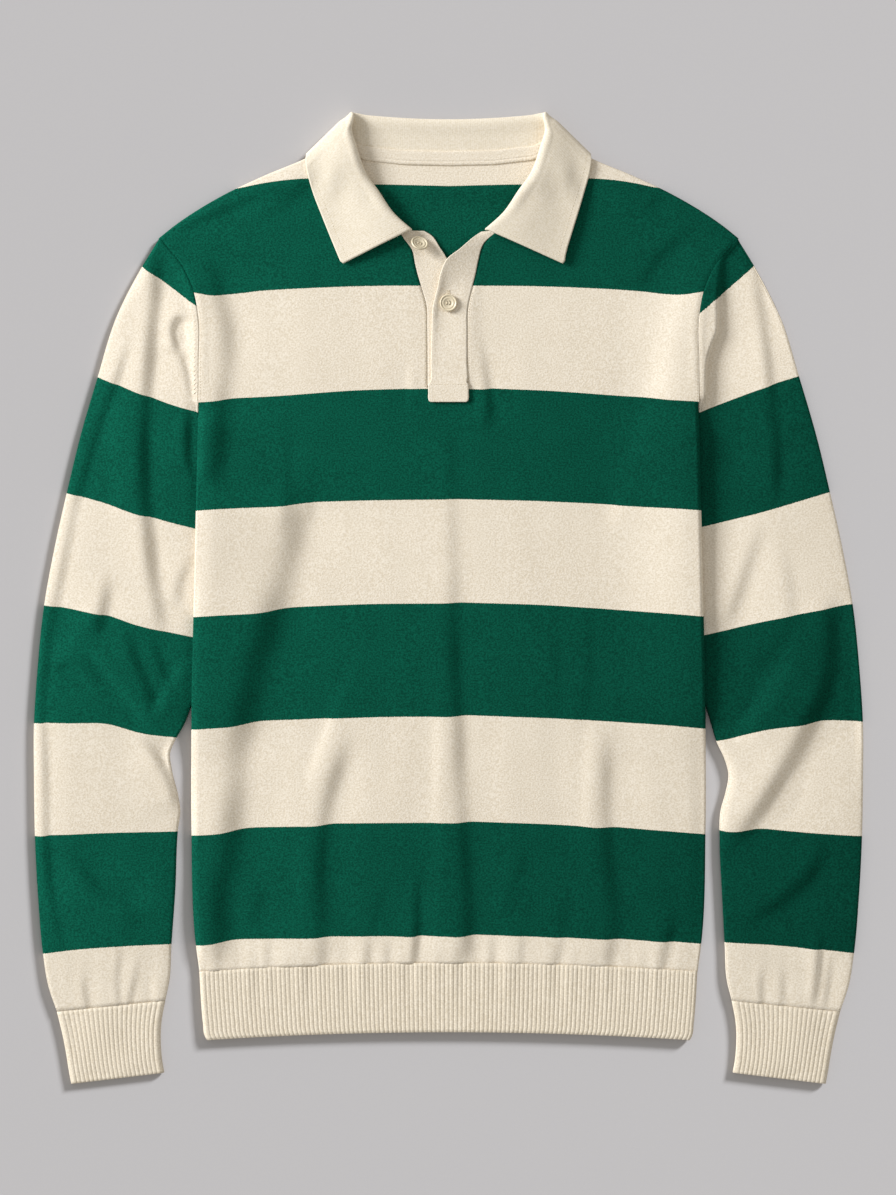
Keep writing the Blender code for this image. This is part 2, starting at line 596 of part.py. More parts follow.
def neck_tape(material):
    """A strip over the back neck seam, lying on the back's inside and on the stand."""
    rows = []
    for x in TAPE_X:
        seam_y = np.interp(abs(x), BACK_NECK["x"], BACK_NECK["y"])
        on_back = back_under(x, seam_y - TAPE_BELOW) + BODY_WALL
        stand_length = BACK_FOLD_Y - ROLL - COLLAR_WALL / 2 - seam_y
        rise = STAND_LEVEL - STAND_TURN - COLLAR_LIFT - BODY_WALL / 2
        on_stand = COLLAR_LIFT + BODY_WALL / 2 + COLLAR_WALL / 2 + rise * (TAPE_ABOVE / stand_length) ** 1.6
        lying = RESTING + TAPE_WALL / 2
        rows.append([(x, seam_y - TAPE_BELOW, on_back + lying), (x, seam_y + SEAM, on_back + TAPE_RIDGE + lying),
                     (x, seam_y + TAPE_ABOVE, on_stand + lying)])
    wall("neck_tape", np.array(rows), TAPE_WALL, material)


PLACKET_SHARES = (0.0, 0.07, 0.2, 0.45, 0.75, 1.0)


def strip(placket, base, rise_by):
    """Rows of a placket from the top down, across from its sewn edge to its free edge, which is
    fully raised from rise_by of the way across."""
    rows = []
    names = ("seam_x", "seam_y", "free_x", "free_y", "free_up")
    for seam_x, seam_y, free_x, free_y, free_up in zip(*(placket[name] for name in names)):
        row = []
        for share in PLACKET_SHARES:
            x, y = seam_x + (free_x - seam_x) * share, seam_y + (free_y - seam_y) * share
            row.append((x, y, base + free_up * smooth_step(share, PLACKET_SHARES[1], rise_by)))
        rows.append(row)
    return np.array(rows)


LEVEL = BODY_HEIGHT - BODY_WALL / 2


def placket_under(material):
    grid = strip(UNDER_PLACKET, LEVEL, 1.0)[::-1]
    wall("placket_under", grid, PLACKET_WALL, material)


def placket_top(material):
    """The top strip, whose foot goes on below the notch and lies on the front."""
    rows = list(strip(TOP_PLACKET, LEVEL, PLACKET_SHARES[2]))
    on_front = BODY_HEIGHT + RESTING + PLACKET_WALL / 2
    for y, half in zip(FOOT["y"], FOOT["half_width"]):
        across = np.linspace(half, -half, len(PLACKET_SHARES))
        rows.append(np.array([(x, y, on_front) for x in across]))
    wall("placket_top", np.array(rows), PLACKET_WALL, material)


BUTTON_PROFILE = {
    "radius": [0, 3.6, 4.6, 5.6, 6.6, 7.0, 7.0, 6.2, 0],
    "height": [1.5, 1.5, 2.0, 2.4, 2.2, 1.7, 1.0, 0, 0],
}
BUTTON_SIDES = 16
HOLE_RADIUS = 0.75
HOLE_OFFSET = 1.3


def turned(profile, sides):
    """Points and faces of a profile turned about Z; its first and last rows are on the axis."""
    angles = 2 * np.pi * np.arange(sides) / sides
    radii, heights = np.array(profile["radius"][1:-1]), np.array(profile["height"][1:-1])
    rings = [np.column_stack([r * np.cos(angles), r * np.sin(angles), np.full(sides, z)])
             for r, z in zip(radii, heights)]
    points = np.vstack(rings)
    faces = [tuple(range(sides)), tuple(reversed(range(len(points) - sides, len(points))))]
    for row in range(len(radii) - 1):
        for side in range(sides):
            after = (side + 1) % sides
            low, high = row * sides, (row + 1) * sides
            faces.append((low + side, high + side, high + after, low + after))
    return points, faces


def button(name, centre, tilt, material):
    """A turned disc with a raised rim, its four thread holes cut through it."""
    points, faces = turned(BUTTON_PROFILE, BUTTON_SIDES)
    disc = make_object(name, points, faces, material)
    holes = []
    hole = {"radius": [0, HOLE_RADIUS, HOLE_RADIUS, 0], "height": [4, 4, -2, -2]}
    for sign_x in (-1, 1):
        for sign_y in (-1, 1):
            cutter_points, cutter_faces = turned(hole, 8)
            shift = np.array([sign_x, sign_y, 0]) * HOLE_OFFSET
            cutter = make_object(f"{name}_hole{len(holes)}", cutter_points + shift, cutter_faces, material)
            cutter.hide_render = True
            cutter.display_type = "WIRE"
            holes.append(cutter)
    for number, cutter in enumerate(holes):
        cut = disc.modifiers.new(f"hole {number}", "BOOLEAN")
        cut.operation = "DIFFERENCE"
        cut.object = cutter
        cutter.parent = disc
    disc.location = np.array(centre) * MM
    disc.rotation_euler = (np.radians(tilt), 0, 0)


def buttons(material):
    lower_x, lower_y, _ = BUTTONS["button_lower"]
    lower_z = LEVEL + TOP_PLACKET["free_up"][-1] + PLACKET_WALL / 2 + RESTING
    button("button_lower", (lower_x, lower_y, lower_z), 0, material)
    top_x, top_y, tilt = BUTTONS["button_top"]
    top_z = LEVEL + PLACKET_WALL / 2 + RESTING + abs(np.sin(np.radians(tilt))) * BUTTON_PROFILE["radius"][-2]
    button("button_top", (top_x, top_y, top_z), tilt, material)


def main():
    for old in list(bpy.data.objects):
        bpy.data.objects.remove(old)
    striped = cloth("striped fine-gauge knit", GREEN)
    rib = cloth("rib knit", RIB_CREAM)
    cream = cloth("cream knit", CREAM)
    horn = cloth("button", HORN, roughness=0.35)
    body_back(striped)
    body_front(striped)
    sleeve("sleeve_left", -1, INNER_LEFT, striped)
    sleeve("sleeve_right", 1, INNER_RIGHT, striped)
    cuff("cuff_left", -1, rib)
    cuff("cuff_right", 1, rib)
    hem_rib(rib)
    collar(cream)
    neck_tape(cream)
    placket_under(cream)
    placket_top(cream)
    buttons(horn)


main()
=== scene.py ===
"""A long-sleeved rugby shirt laid flat, face up: striped knitted body and sleeves, rib hem and
cuffs, and a soft knitted collar spread open over a two-button placket.

Tables are in millimetres, with +X to the viewer's right and +Y towards the collar.
"""
import json

import bpy
import numpy as np
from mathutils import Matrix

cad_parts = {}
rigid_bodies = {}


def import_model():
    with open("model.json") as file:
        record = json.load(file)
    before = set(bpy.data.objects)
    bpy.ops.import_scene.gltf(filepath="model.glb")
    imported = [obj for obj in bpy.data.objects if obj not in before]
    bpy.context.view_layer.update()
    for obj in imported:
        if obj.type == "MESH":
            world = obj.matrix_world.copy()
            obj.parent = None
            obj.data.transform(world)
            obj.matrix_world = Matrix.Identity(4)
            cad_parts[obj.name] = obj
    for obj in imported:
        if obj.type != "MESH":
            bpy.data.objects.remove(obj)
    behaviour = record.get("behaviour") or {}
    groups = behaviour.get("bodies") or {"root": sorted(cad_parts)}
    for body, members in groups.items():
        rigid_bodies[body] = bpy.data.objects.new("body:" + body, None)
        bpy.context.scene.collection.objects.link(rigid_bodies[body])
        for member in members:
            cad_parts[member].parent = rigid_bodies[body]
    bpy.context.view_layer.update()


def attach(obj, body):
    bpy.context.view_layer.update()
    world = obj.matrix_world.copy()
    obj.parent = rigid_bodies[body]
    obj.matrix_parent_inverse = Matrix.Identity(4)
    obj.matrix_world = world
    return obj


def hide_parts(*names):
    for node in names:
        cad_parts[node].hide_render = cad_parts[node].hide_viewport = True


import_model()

MM = 0.001

# ---- the back panel ----
# The panel that lies lowest: fine-gauge jersey in wide stripes, knitted flat and cut to shape.
# It rests on the surface, and rises over the sleeves tucked beneath its sides and over the
# collar's fall behind the neck. Linked to the front at the sides and shoulders.

BODY_WALL = 1.6
BODY_GAP = 2.4
BODY_HEIGHT = 2 * BODY_WALL + BODY_GAP
CURL = (BODY_HEIGHT - BODY_WALL) / 2      # radius of the wall's turn down to a seam
TUCK_LIFT = 4.8
COLLAR_LIFT = 2.4
UNDERARM_Y = 158.0
HEM_TOP_Y = -300.0
HEM_TOP_HALF_WIDTH = 204.6
HEM_BOW = 7.0
SIDE = {"y": [-306, -284, -190, -84, -15, 70, 158], "half_width": [204.6, 207.5, 211, 210.5, 209, 207, 205]}
ARMHOLE = {"y": [158, 192, 230, 256.5, 277, 294.8], "x": [205, 204.9, 205, 210.8, 221.7, 237.5]}
SHOULDER = {"x": [90.6, 118, 150, 185, 206, 224, 237.5], "y": [373.6, 359.6, 346.5, 330, 317.8, 305.6, 294.8]}
BACK_NECK = {"x": [0, 37.3, 68.9, 84, 90.6], "y": [355.5, 356.3, 359.9, 366.5, 374.3]}
BACK_FALL = {"x": [0, 40, 80, 108, 118, 185], "y": [343, 344.5, 350.5, 357, 352, 305]}
# Where the stripes change, line by line from the shoulder down, at these distances from the middle.
BODY_STRIPES = {
    "x": [0, 75, 150, 189, 210],
    "y": [[345, 344, 339.5, 331, 326], [255, 254.5, 250.8, 247.2, 250.5], [171, 169.3, 163.7, 161.2, 159.8],
          [80, 78.3, 74.3, 71.9, 70.3], [-4.8, -6.6, -11.5, -14.4, -16.2], [-97.7, -99.3, -103.4, -106, -108],
          [-184.7, -186.2, -190.2, -192.9, -194.6], [-277.9, -278.9, -281.5, -283.6, -284.8]],
}
SEAM_INSET = 0.1
ARMHOLE_RISE = ARMHOLE["y"][-1] - UNDERARM_Y
SHOULDER_END_X = ARMHOLE["x"][-1] - SEAM_INSET
NECK_X = 90.6                             # where the neck meets the shoulder
BACK_STEP = 4.2                           # spacing of the back's grid
BACK_RISE = 197.0                         # from the underarm to the neck
STRIPE = 90.0                             # a stripe's depth on the cloth's own chart
BACK_STRIPE_TOP = [337, 338.5, 337, 331, 326]
# Wide shallow creases of the back, which arch off the surface: width, height, and a line.
BACK_FOLDS = [
    (8, 0.5, [(-120, 120), (-128, 40), (-150, -60), (-165, -180), (-160, -290)]),
    (7, 0.4, [(60, 60), (55, -60), (62, -180), (58, -295)]),
    (8, 0.5, [(150, 180), (140, 60), (134, -90), (142, -230)]),
    (6, 0.4, [(-40, -120), (-46, -200), (-40, -296)]),
    (7, 0.35, [(-150, 300), (-120, 250), (-70, 225)]),
    (7, 0.35, [(70, 230), (120, 262), (150, 305)]),
]


def curve(at, knots, values):
    """A smooth line through values at knots. Between two knots it is the cubic which has, at
    each of them, the slope of the parabola through that knot and its two neighbours."""
    knots, values = np.asarray(knots, float), np.asarray(values, float)
    extra = (None,) * (values.ndim - 1)
    gap = np.diff(knots)
    wide = gap[(slice(None), *extra)]
    rise = np.diff(values, axis=0) / wide
    slope = np.concatenate([rise[:1], (rise[:-1] * wide[1:] + rise[1:] * wide[:-1]) / (wide[:-1] + wide[1:]),
                            rise[-1:]])
    at = np.clip(at, knots[0], knots[-1])
    cell = np.clip(np.searchsorted(knots, at, side="right") - 1, 0, len(gap) - 1)
    t = ((at - knots[cell]) / gap[cell])[(..., *extra)]
    step = gap[cell][(..., *extra)]
    return ((1 + 2 * t) * (1 - t) ** 2 * values[cell] + t * (1 - t) ** 2 * step * slope[cell]
            + t * t * (3 - 2 * t) * values[cell + 1] + t * t * (t - 1) * step * slope[cell + 1])


def ease(value, low, high):
    """0 below low, 1 above high, and 3t^2 - 2t^3 between."""
    t = np.clip((value - low) / (high - low), 0, 1)
    return t * t * (3 - 2 * t)


def side_half_width(y):
    return curve(y, SIDE["y"], SIDE["half_width"])


def over_fall(x, y):
    """1 over the collar's fall behind the neck, and a smooth step down to 0 at its edge."""
    fall_edge = np.interp(x, BACK_FALL["x"], BACK_FALL["y"])
    return ease(y, fall_edge - 24, fall_edge - 6) * (1 - ease(x, 110, 185))


# Where the back steps up over a tucked sleeve: from the side, from below, and towards the underarm.
BACK_OVER_SLEEVE = {"side": (-25, -12), "foot": (-120, -94), "top": (142, 158)}


def over_sleeve(inside, y, ends):
    """1 over a tucked sleeve, and smooth steps down to 0 at its three ends."""
    return ease(-inside, *ends["side"]) * ease(y, *ends["foot"]) * (1 - ease(y, *ends["top"]))


def off_surface(x, y):
    """Height of the back's underside: nothing where it rests, and a smooth step up over each
    tucked sleeve and over the fall behind the neck."""
    x = np.abs(x)
    inside = side_half_width(y) - x
    return TUCK_LIFT * over_sleeve(inside, y, BACK_OVER_SLEEVE) + COLLAR_LIFT * over_fall(x, y)


def beside(x, y, line):
    """Signed distance from a chain of straight runs, more than 0 on its left, with how far along
    it the nearest place lies, and its length."""
    nearest, side, run, length = np.full(x.shape, 1e9), np.zeros(x.shape), np.zeros(x.shape), 0.0
    for (x0, y0), (x1, y1) in zip(line, line[1:]):
        piece = np.hypot(x1 - x0, y1 - y0)
        along_x, along_y = (x1 - x0) / piece, (y1 - y0) / piece
        reach = np.clip((x - x0) * along_x + (y - y0) * along_y, 0, piece)
        off_x, off_y = x - x0 - reach * along_x, y - y0 - reach * along_y
        distance = np.hypot(off_x, off_y)
        closer = distance < nearest
        nearest = np.where(closer, distance, nearest)
        side = np.where(closer, np.sign(along_x * off_y - along_y * off_x), side)
        run = np.where(closer, length + reach, run)
        length += piece
    return nearest * side, run, length


REACH = 6.0                               # how many widths to each side a fold dies out in
FADE_SHARE = 0.42                         # the share of its length that a fold takes to fade
FADE_MOST = 45


def wrinkles(folds, x, y):
    """Sum of soft folds. Across a fold's line, at d times its width, the cloth stands at
    -2.3 * height * d / (1 + d^2)^1.25: a crest on one side, a trough on the other, each easing
    away slowly. Along the line it swells and fades unevenly."""
    height = np.zeros(np.broadcast(x, y).shape)
    for number, (width, size, line) in enumerate(folds):
        smooth = np.array(line, float)
        knots = np.arange(len(line))
        smooth = curve(np.linspace(0, len(line) - 1, 3 * len(line) - 2), knots, smooth)
        low, high = smooth.min(axis=0) - REACH * width, smooth.max(axis=0) + REACH * width
        near = (x > low[0]) & (x < high[0]) & (y > low[1]) & (y < high[1])
        across, run, length = beside(x[near], y[near], smooth)
        d = across / width
        fade = min(FADE_SHARE * length, FADE_MOST)
        swell = 1 + 0.16 * np.sin(run / 13 + 2.1 * number) + 0.12 * np.sin(run / 29 + number)
        height[near] -= (2.3 * size * d / (1 + d * d) ** 1.25 * (1 - ease(np.abs(d), 2.5, REACH))
                         * ease(run, 0, fade) * ease(length - run, 0, fade * 0.6) * swell)
    return height


def turn_down(inside):
    """How far a wall has sunk at a distance inside its edge: a narrow quarter ellipse down to the
    seam, begun by a soft slope."""
    across = np.clip(CURL - 2.2 * inside, 0, CURL)
    circle = CURL - np.sqrt(np.maximum(CURL ** 2 - across ** 2, 0))
    return 0.93 * circle + 0.8 * (1 - ease(inside, 0, 15)) * (CURL - circle) / CURL


SHOULDER_LEAN = 0.9                       # cosine of the shoulder's slope


def shoulder_y(x):
    return curve(x, SHOULDER["x"], SHOULDER["y"])


def to_seam(x, y):
    """Depth of the turn down towards the side seam and the shoulder seam."""
    x = np.abs(x)
    at_side = turn_down(side_half_width(y) - BODY_WALL / 2 - x) * (1 - ease(y, 148, 158))
    at_shoulder = turn_down((shoulder_y(x) - y) * SHOULDER_LEAN - BODY_WALL / 2) * ease(x, 89, 92) * (y > 250)
    return np.maximum(at_side, at_shoulder)


EDGE_TAIL = np.array([11, 8.6, 6.6, 4.9, 3.5, 2.5, 1.75, 1.1, 0.6, 0.25, 0.0])


def shares(length, step):
    """Even steps from 0 up to the last 11 mm of a length, and then closer and closer to 1."""
    count = int(np.ceil((length - EDGE_TAIL[0]) / step))
    even = np.linspace(0, 1 - EDGE_TAIL[0] / length, count, endpoint=False)
    return np.concatenate([even, 1 - EDGE_TAIL / length])


def patch(inner, outer, bottom, top, across, up):
    """A plan grid between four edges: the two blends between opposite edges, added together, less
    the blend between the four corners."""
    c, t = across[None, :, None], up[:, None, None]
    sides = (1 - c) * inner[:, None] + c * outer[:, None]
    ends = (1 - t) * bottom[None] + t * top[None]
    corners = ((1 - c) * (1 - t) * inner[0] + c * (1 - t) * outer[0]
               + (1 - c) * t * inner[-1] + c * t * outer[-1])
    return sides + ends - corners


def line_between(start, end, across):
    start, end = np.asarray(start, float), np.asarray(end, float)
    return start + (end - start) * across[:, None]


def lower_part(inner_x, inner_top_y, across, step):
    """The panel's half from the hem seam up to the underarm."""
    up = np.linspace(0, 1, int((inner_top_y - HEM_TOP_Y) / step))
    y = HEM_TOP_Y - HEM_BOW + (UNDERARM_Y - HEM_TOP_Y + HEM_BOW) * up
    outer = np.column_stack([side_half_width(y) - BODY_WALL / 2, y])
    inner = line_between((inner_x, HEM_TOP_Y), (inner_x, inner_top_y), up)
    bottom = line_between(inner[0], outer[0], across)
    bottom[:, 1] = HEM_TOP_Y - HEM_BOW * (bottom[:, 0] / HEM_TOP_HALF_WIDTH) ** 2
    inner[0, 1], outer[0, 1] = bottom[0, 1], bottom[-1, 1]
    return patch(inner, outer, bottom, line_between(inner[-1], outer[-1], across), across, up)


def upper_part(inner, up, across, top):
    """The panel's half from the underarm up to the shoulder, from its inner edge to the armhole."""
    y = UNDERARM_Y + ARMHOLE_RISE * up
    outer = np.column_stack([curve(y, ARMHOLE["y"], ARMHOLE["x"]) - SEAM_INSET, y])
    outer[0, 0] = side_half_width(UNDERARM_Y) - BODY_WALL / 2
    outer[:, 1] -= BODY_WALL / 2 * ease(up, 0.8, 1)
    top[0], top[-1] = inner[-1], outer[-1]
    return patch(inner, outer, line_between(inner[0], outer[0], across), top, across, up)


def stripe_place(x, y, lines):
    """How many stripes a place lies below the first change of colour, in straight proportion
    between one change and the next."""
    edges = np.array([curve(np.abs(x), lines["x"], line) for line in lines["y"]])
    between = np.clip((edges[:-1] - y) / (edges[:-1] - edges[1:]), 0, 1).sum(axis=0)
    return between + np.minimum(0, (edges[0] - y) / STRIPE) + np.maximum(0, (edges[-1] - y) / STRIPE)


def paint(code):
    """An sRGB hex colour as linear RGBA: c / 12.92 where dark, ((c + 0.055) / 1.055)^2.4 above."""
    c = np.array([int(code[i:i + 2], 16) for i in (1, 3, 5)]) / 255
    return (*np.where(c < 0.04045, c / 12.92, ((c + 0.055) / 1.055) ** 2.4), 1.0)


def add(tree, kind, sockets, **settings):
    """Adds a node: its settings, then its inputs, each a value or another node's output."""
    made = tree.nodes.new(kind)
    for name, value in settings.items():
        setattr(made, name, value)
    for name, value in sockets.items():
        if isinstance(value, bpy.types.NodeSocket):
            tree.links.new(value, made.inputs[name])
        else:
            made.inputs[name].default_value = value
    return made


def new_material(name):
    """A new material, with its node tree and its shader."""
    material = bpy.data.materials.new(name)
    material.use_nodes = True
    return material, material.node_tree, material.node_tree.nodes["Principled BSDF"]


def painted_light_falloff(tree, colour, place, change, level):
    """Painted light and shade: a colour scaled evenly over the cloth, as if the lamp fell off across it; it
    is multiplied by change . place + level.
    """
    slope = add(tree, "ShaderNodeVectorMath", {0: place, 1: change}, operation="DOT_PRODUCT")
    amount = add(tree, "ShaderNodeMath", {0: slope.outputs["Value"], 1: level}, operation="ADD")
    return add(tree, "ShaderNodeVectorMath", {0: colour, "Scale": amount.outputs[0]},
               operation="SCALE").outputs[0]


# Painted light: the striped knit's cream is painted paler towards the collar, as if the light fell off
# towards the hem.
CREAM_PAINTED_LIGHT = (0.0, 0.11, 0.0), 0.981      # a striped knit's cream is paler towards the collar
# Painted shade: the dark stripes are painted darker to the right and towards the hem, away from the lamp, and
# paler at the upper left.
GREEN_PAINTED_SHADE = (-0.68, 0.28, 0.0), 0.93     # and its dark stripes are deeper to the right and the hem
GRAIN = (680, 800, 740)                   # per metre, so about 1.4 mm
CLOUDS = (42, 55, 50)
CLOUD_SHARE = 0.08
MOTTLE = (0.42, 0.66)                     # the noise levels of the darkest and the palest yarn
NOTCH = 0.0007                            # a stripe's edge steps from stitch to stitch by this
NOTCH_SHARE = 0.55
RIB_RELIEF = 0.09
# Painted shade: the collar's rib furrows are painted darker, down to this share of their colour.
PAINTED_FURROW_SHADE = (-1.0, 0.2, 0.955)               # a furrow's foot and end on the rib's wave, and its shade
RELIEF = 0.6 * MM


def knit(name, light, shade, stripe=None, stripe_shade=None, wale=0.0, fuzz=0.35, relief_strength=0.55):
    """Fine cotton and wool jersey: matt, with a short nap that lights up at grazing angles and a
    soft mottle of uneven yarn. Stitches are about 1.2 mm; their grain is drawn at 1.4 mm, and any
    rib grain at its wale spacing, so that it shows."""
    material, tree, shader = new_material(name)
    chart = add(tree, "ShaderNodeUVMap", {}, uv_map="chart").outputs["UV"]
    body = add(tree, "ShaderNodeTexCoord", {}).outputs["Object"]
    grain_place = add(tree, "ShaderNodeMapping", {"Vector": body, "Scale": GRAIN}).outputs[0]
    grain = add(tree, "ShaderNodeTexNoise", {"Vector": grain_place, "Scale": 1.0, "Detail": 2.5,
                                             "Roughness": 0.65}).outputs[0]
    cloud_place = add(tree, "ShaderNodeMapping", {"Vector": body, "Scale": CLOUDS}).outputs[0]
    cloud = add(tree, "ShaderNodeTexNoise", {"Vector": cloud_place, "Scale": 1.0, "Detail": 2.0}).outputs[0]
    mottle = add(tree, "ShaderNodeMath", {0: cloud, 1: CLOUD_SHARE, 2: grain},
                 operation="MULTIPLY_ADD").outputs[0]
    amount = add(tree, "ShaderNodeMapRange", {"Value": mottle, "From Min": MOTTLE[0],
                                              "From Max": MOTTLE[1]}).outputs[0]
    colour = add(tree, "ShaderNodeMix", {"Factor": amount, "A": paint(shade), "B": paint(light)},
                 data_type="RGBA").outputs["Result"]
    parts = add(tree, "ShaderNodeSeparateXYZ", {0: chart})
    if stripe:
        # Painted light: the cream is scaled paler towards the collar.
        colour = painted_light_falloff(tree, colour, body, *CREAM_PAINTED_LIGHT)
        dark = add(tree, "ShaderNodeMix", {"Factor": amount, "A": paint(stripe_shade), "B": paint(stripe)},
                   data_type="RGBA").outputs["Result"]
        # Painted shade: the green is scaled darker to the right and towards the hem.
        dark = painted_light_falloff(tree, dark, body, *GREEN_PAINTED_SHADE)
        notch = add(tree, "ShaderNodeMath", {0: parts.outputs["X"], 1: NOTCH},
                    operation="PINGPONG").outputs[0]
        ragged = add(tree, "ShaderNodeMath", {0: grain, 1: 2 * NOTCH, 2: notch},
                     operation="MULTIPLY_ADD").outputs[0]
        course = add(tree, "ShaderNodeMath", {0: ragged, 1: NOTCH_SHARE, 2: parts.outputs["Y"]},
                     operation="MULTIPLY_ADD").outputs[0]
        pairs = add(tree, "ShaderNodeMath", {0: course, 1: 2 * STRIPE * MM}, operation="DIVIDE").outputs[0]
        place = add(tree, "ShaderNodeMath", {0: pairs}, operation="FRACT").outputs[0]
        is_dark = add(tree, "ShaderNodeMath", {0: place, 1: 0.5}, operation="LESS_THAN").outputs[0]
        colour = add(tree, "ShaderNodeMix", {"Factor": is_dark, "A": colour, "B": dark},
                     data_type="RGBA").outputs["Result"]
    relief = grain
    if wale:
        turn = add(tree, "ShaderNodeMath", {0: parts.outputs["X"], 1: 2 * np.pi / wale},
                   operation="MULTIPLY").outputs[0]
        wave = add(tree, "ShaderNodeMath", {0: turn}, operation="SINE").outputs[0]
        relief = add(tree, "ShaderNodeMath", {0: wave, 1: RIB_RELIEF, 2: grain},
                     operation="MULTIPLY_ADD").outputs[0]
        # Painted shade: the colour is darkened in each rib's furrow.
        furrow_shade_painted = add(tree, "ShaderNodeMapRange", {"Value": wave, "From Min": PAINTED_FURROW_SHADE[0], "From Max": PAINTED_FURROW_SHADE[1],
                                                  "To Min": PAINTED_FURROW_SHADE[2], "To Max": 1.0}).outputs[0]
        colour = add(tree, "ShaderNodeVectorMath", {0: colour, "Scale": furrow_shade_painted}, operation="SCALE").outputs[0]
    bump = add(tree, "ShaderNodeBump", {"Height": relief, "Strength": relief_strength, "Distance": RELIEF})
    tree.links.new(colour, shader.inputs["Base Color"])
    tree.links.new(colour, shader.inputs["Sheen Tint"])
    tree.links.new(bump.outputs[0], shader.inputs["Normal"])
    shader.inputs["Roughness"].default_value = 0.95
    shader.inputs["Specular IOR Level"].default_value = 0.03
    shader.inputs["Sheen Weight"].default_value = fuzz
    shader.inputs["Sheen Roughness"].default_value = 0.55
    return material


def build(name, points, faces, charted, material):
    """A mesh object from points in mm and quads, with the cloth's chart as a UV map in metres."""
    used, faces = np.unique(faces, return_inverse=True)
    faces = faces.reshape(-1, 4)
    mesh = bpy.data.meshes.new(name)
    mesh.vertices.add(len(used))
    mesh.vertices.foreach_set("co", (points[used] * MM).ravel())
    mesh.loops.add(faces.size)
    mesh.loops.foreach_set("vertex_index", faces.ravel())
    mesh.polygons.add(len(faces))
    mesh.polygons.foreach_set("loop_start", np.arange(0, faces.size, 4))
    mesh.update(calc_edges=True)
    chart = mesh.uv_layers.new(name="chart")
    chart.data.foreach_set("uv", (charted * MM).ravel())
    mesh.shade_smooth()
    mesh.materials.append(material)
    made = bpy.data.objects.new(name, mesh)
    bpy.context.scene.collection.objects.link(made)
    return made


def unit(vectors):
    return vectors / np.maximum(np.linalg.norm(vectors, axis=-1, keepdims=True), 1e-12)


def cloth(name, middle, thickness, chart, material, closed=False, present=None, rim_out=0.33):
    """A closed wall about a grid of middle points, rows by columns by xyz: every point goes half
    the thickness both ways along the mean normal of its cells, and every open border is closed
    by a rim that stands out by a share of the thickness."""
    rows, columns = middle.shape[:2]
    index = np.arange(rows * columns).reshape(rows, columns)
    if closed:
        index = np.concatenate([index, index[:, :1]], axis=1)
    corners = [(slice(None, -1), slice(None, -1)), (slice(None, -1), slice(1, None)),
               (slice(1, None), slice(1, None)), (slice(1, None), slice(None, -1))]
    cells = np.stack([index[corner].ravel() for corner in corners], axis=1)
    charted = np.stack([chart[corner].reshape(-1, 2) for corner in corners], axis=1)
    if present is not None:
        cells, charted = cells[present.ravel()], charted[present.ravel()]
    flat = middle.reshape(-1, 3)
    count = len(flat)
    facing = unit(np.cross(flat[cells[:, 2]] - flat[cells[:, 0]], flat[cells[:, 3]] - flat[cells[:, 1]]))
    normals = np.zeros_like(flat)
    for corner in range(4):
        for axis in range(3):
            normals[:, axis] += np.bincount(cells[:, corner], facing[:, axis], count)
    normals = unit(normals)
    starts, ends = cells.ravel(), np.roll(cells, -1, axis=1).ravel()
    at_start, at_end = charted.reshape(-1, 2), np.roll(charted, -1, axis=1).reshape(-1, 2)
    border = ~np.isin(starts * count + ends, ends * count + starts)
    starts, ends, at_start, at_end = starts[border], ends[border], at_start[border], at_end[border]
    out = np.zeros_like(flat)
    heading = unit(flat[ends] - flat[starts])
    for side in (starts, ends):
        sideways = np.cross(heading, normals[side])
        for axis in range(3):
            out[:, axis] += np.bincount(side, sideways[:, axis], count)
    points = np.concatenate([flat + normals * thickness / 2, flat - normals * thickness / 2,
                             flat + unit(out) * thickness * rim_out])
    rim, under = 2 * count, count
    faces = np.concatenate([
        cells, cells[:, ::-1] + under,
        np.stack([ends, starts, starts + rim, ends + rim], axis=1),
        np.stack([ends + rim, starts + rim, starts + under, ends + under], axis=1)])
    seam_chart = np.stack([at_end, at_start, at_start, at_end], axis=1)
    charted = np.concatenate([charted, charted[:, ::-1], seam_chart, seam_chart])
    made = build(name, points, faces, charted, material)
    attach(made, "root")
    return made


def mirrored(points):
    return points * np.array([-1, 1, 1])[:points.shape[-1]]


# Jersey looks soft and quite matt, and its stripes are knitted in, so their edges step.
CREAM, CREAM_SHADE = "#F3E9D8", "#DFD2BC"
GREEN, GREEN_SHADE = "#0C5C48", "#074233"
striped_jersey = knit("striped cotton jersey", CREAM, CREAM_SHADE, GREEN, GREEN_SHADE)

across = shares(SIDE["half_width"][-1], BACK_STEP)
rise = shares(BACK_RISE, BACK_STEP)
lower = lower_part(0.0, UNDERARM_Y, across, BACK_STEP)
centre = line_between((0, UNDERARM_Y), (0, BACK_NECK["y"][0]), rise)
top_x = line_between((0, 0), (SHOULDER_END_X, 0), across)[:, 0]
on_neck = curve(np.minimum(top_x, NECK_X), BACK_NECK["x"], BACK_NECK["y"])
top = np.column_stack([top_x, np.where(top_x < NECK_X, on_neck, shoulder_y(top_x) - BODY_WALL / 2)])
half = np.concatenate([lower[:-1], upper_part(centre, rise, across, top)])
plan = np.concatenate([mirrored(half)[:, :0:-1], half], axis=1)
x, y = plan[..., 0], plan[..., 1]
from_side = side_half_width(np.minimum(y, UNDERARM_Y)) - np.abs(x)
fold = np.maximum(wrinkles(BACK_FOLDS, x, y), 0) * ease(from_side, 14, 40)
back = np.dstack([plan, off_surface(x, y) + BODY_WALL / 2 + to_seam(x, y) + fold])
lines = {"x": BODY_STRIPES["x"], "y": [BACK_STRIPE_TOP, *BODY_STRIPES["y"][1:]]}
back_chart = np.dstack([x, STRIPE * stripe_place(x, y, lines)])
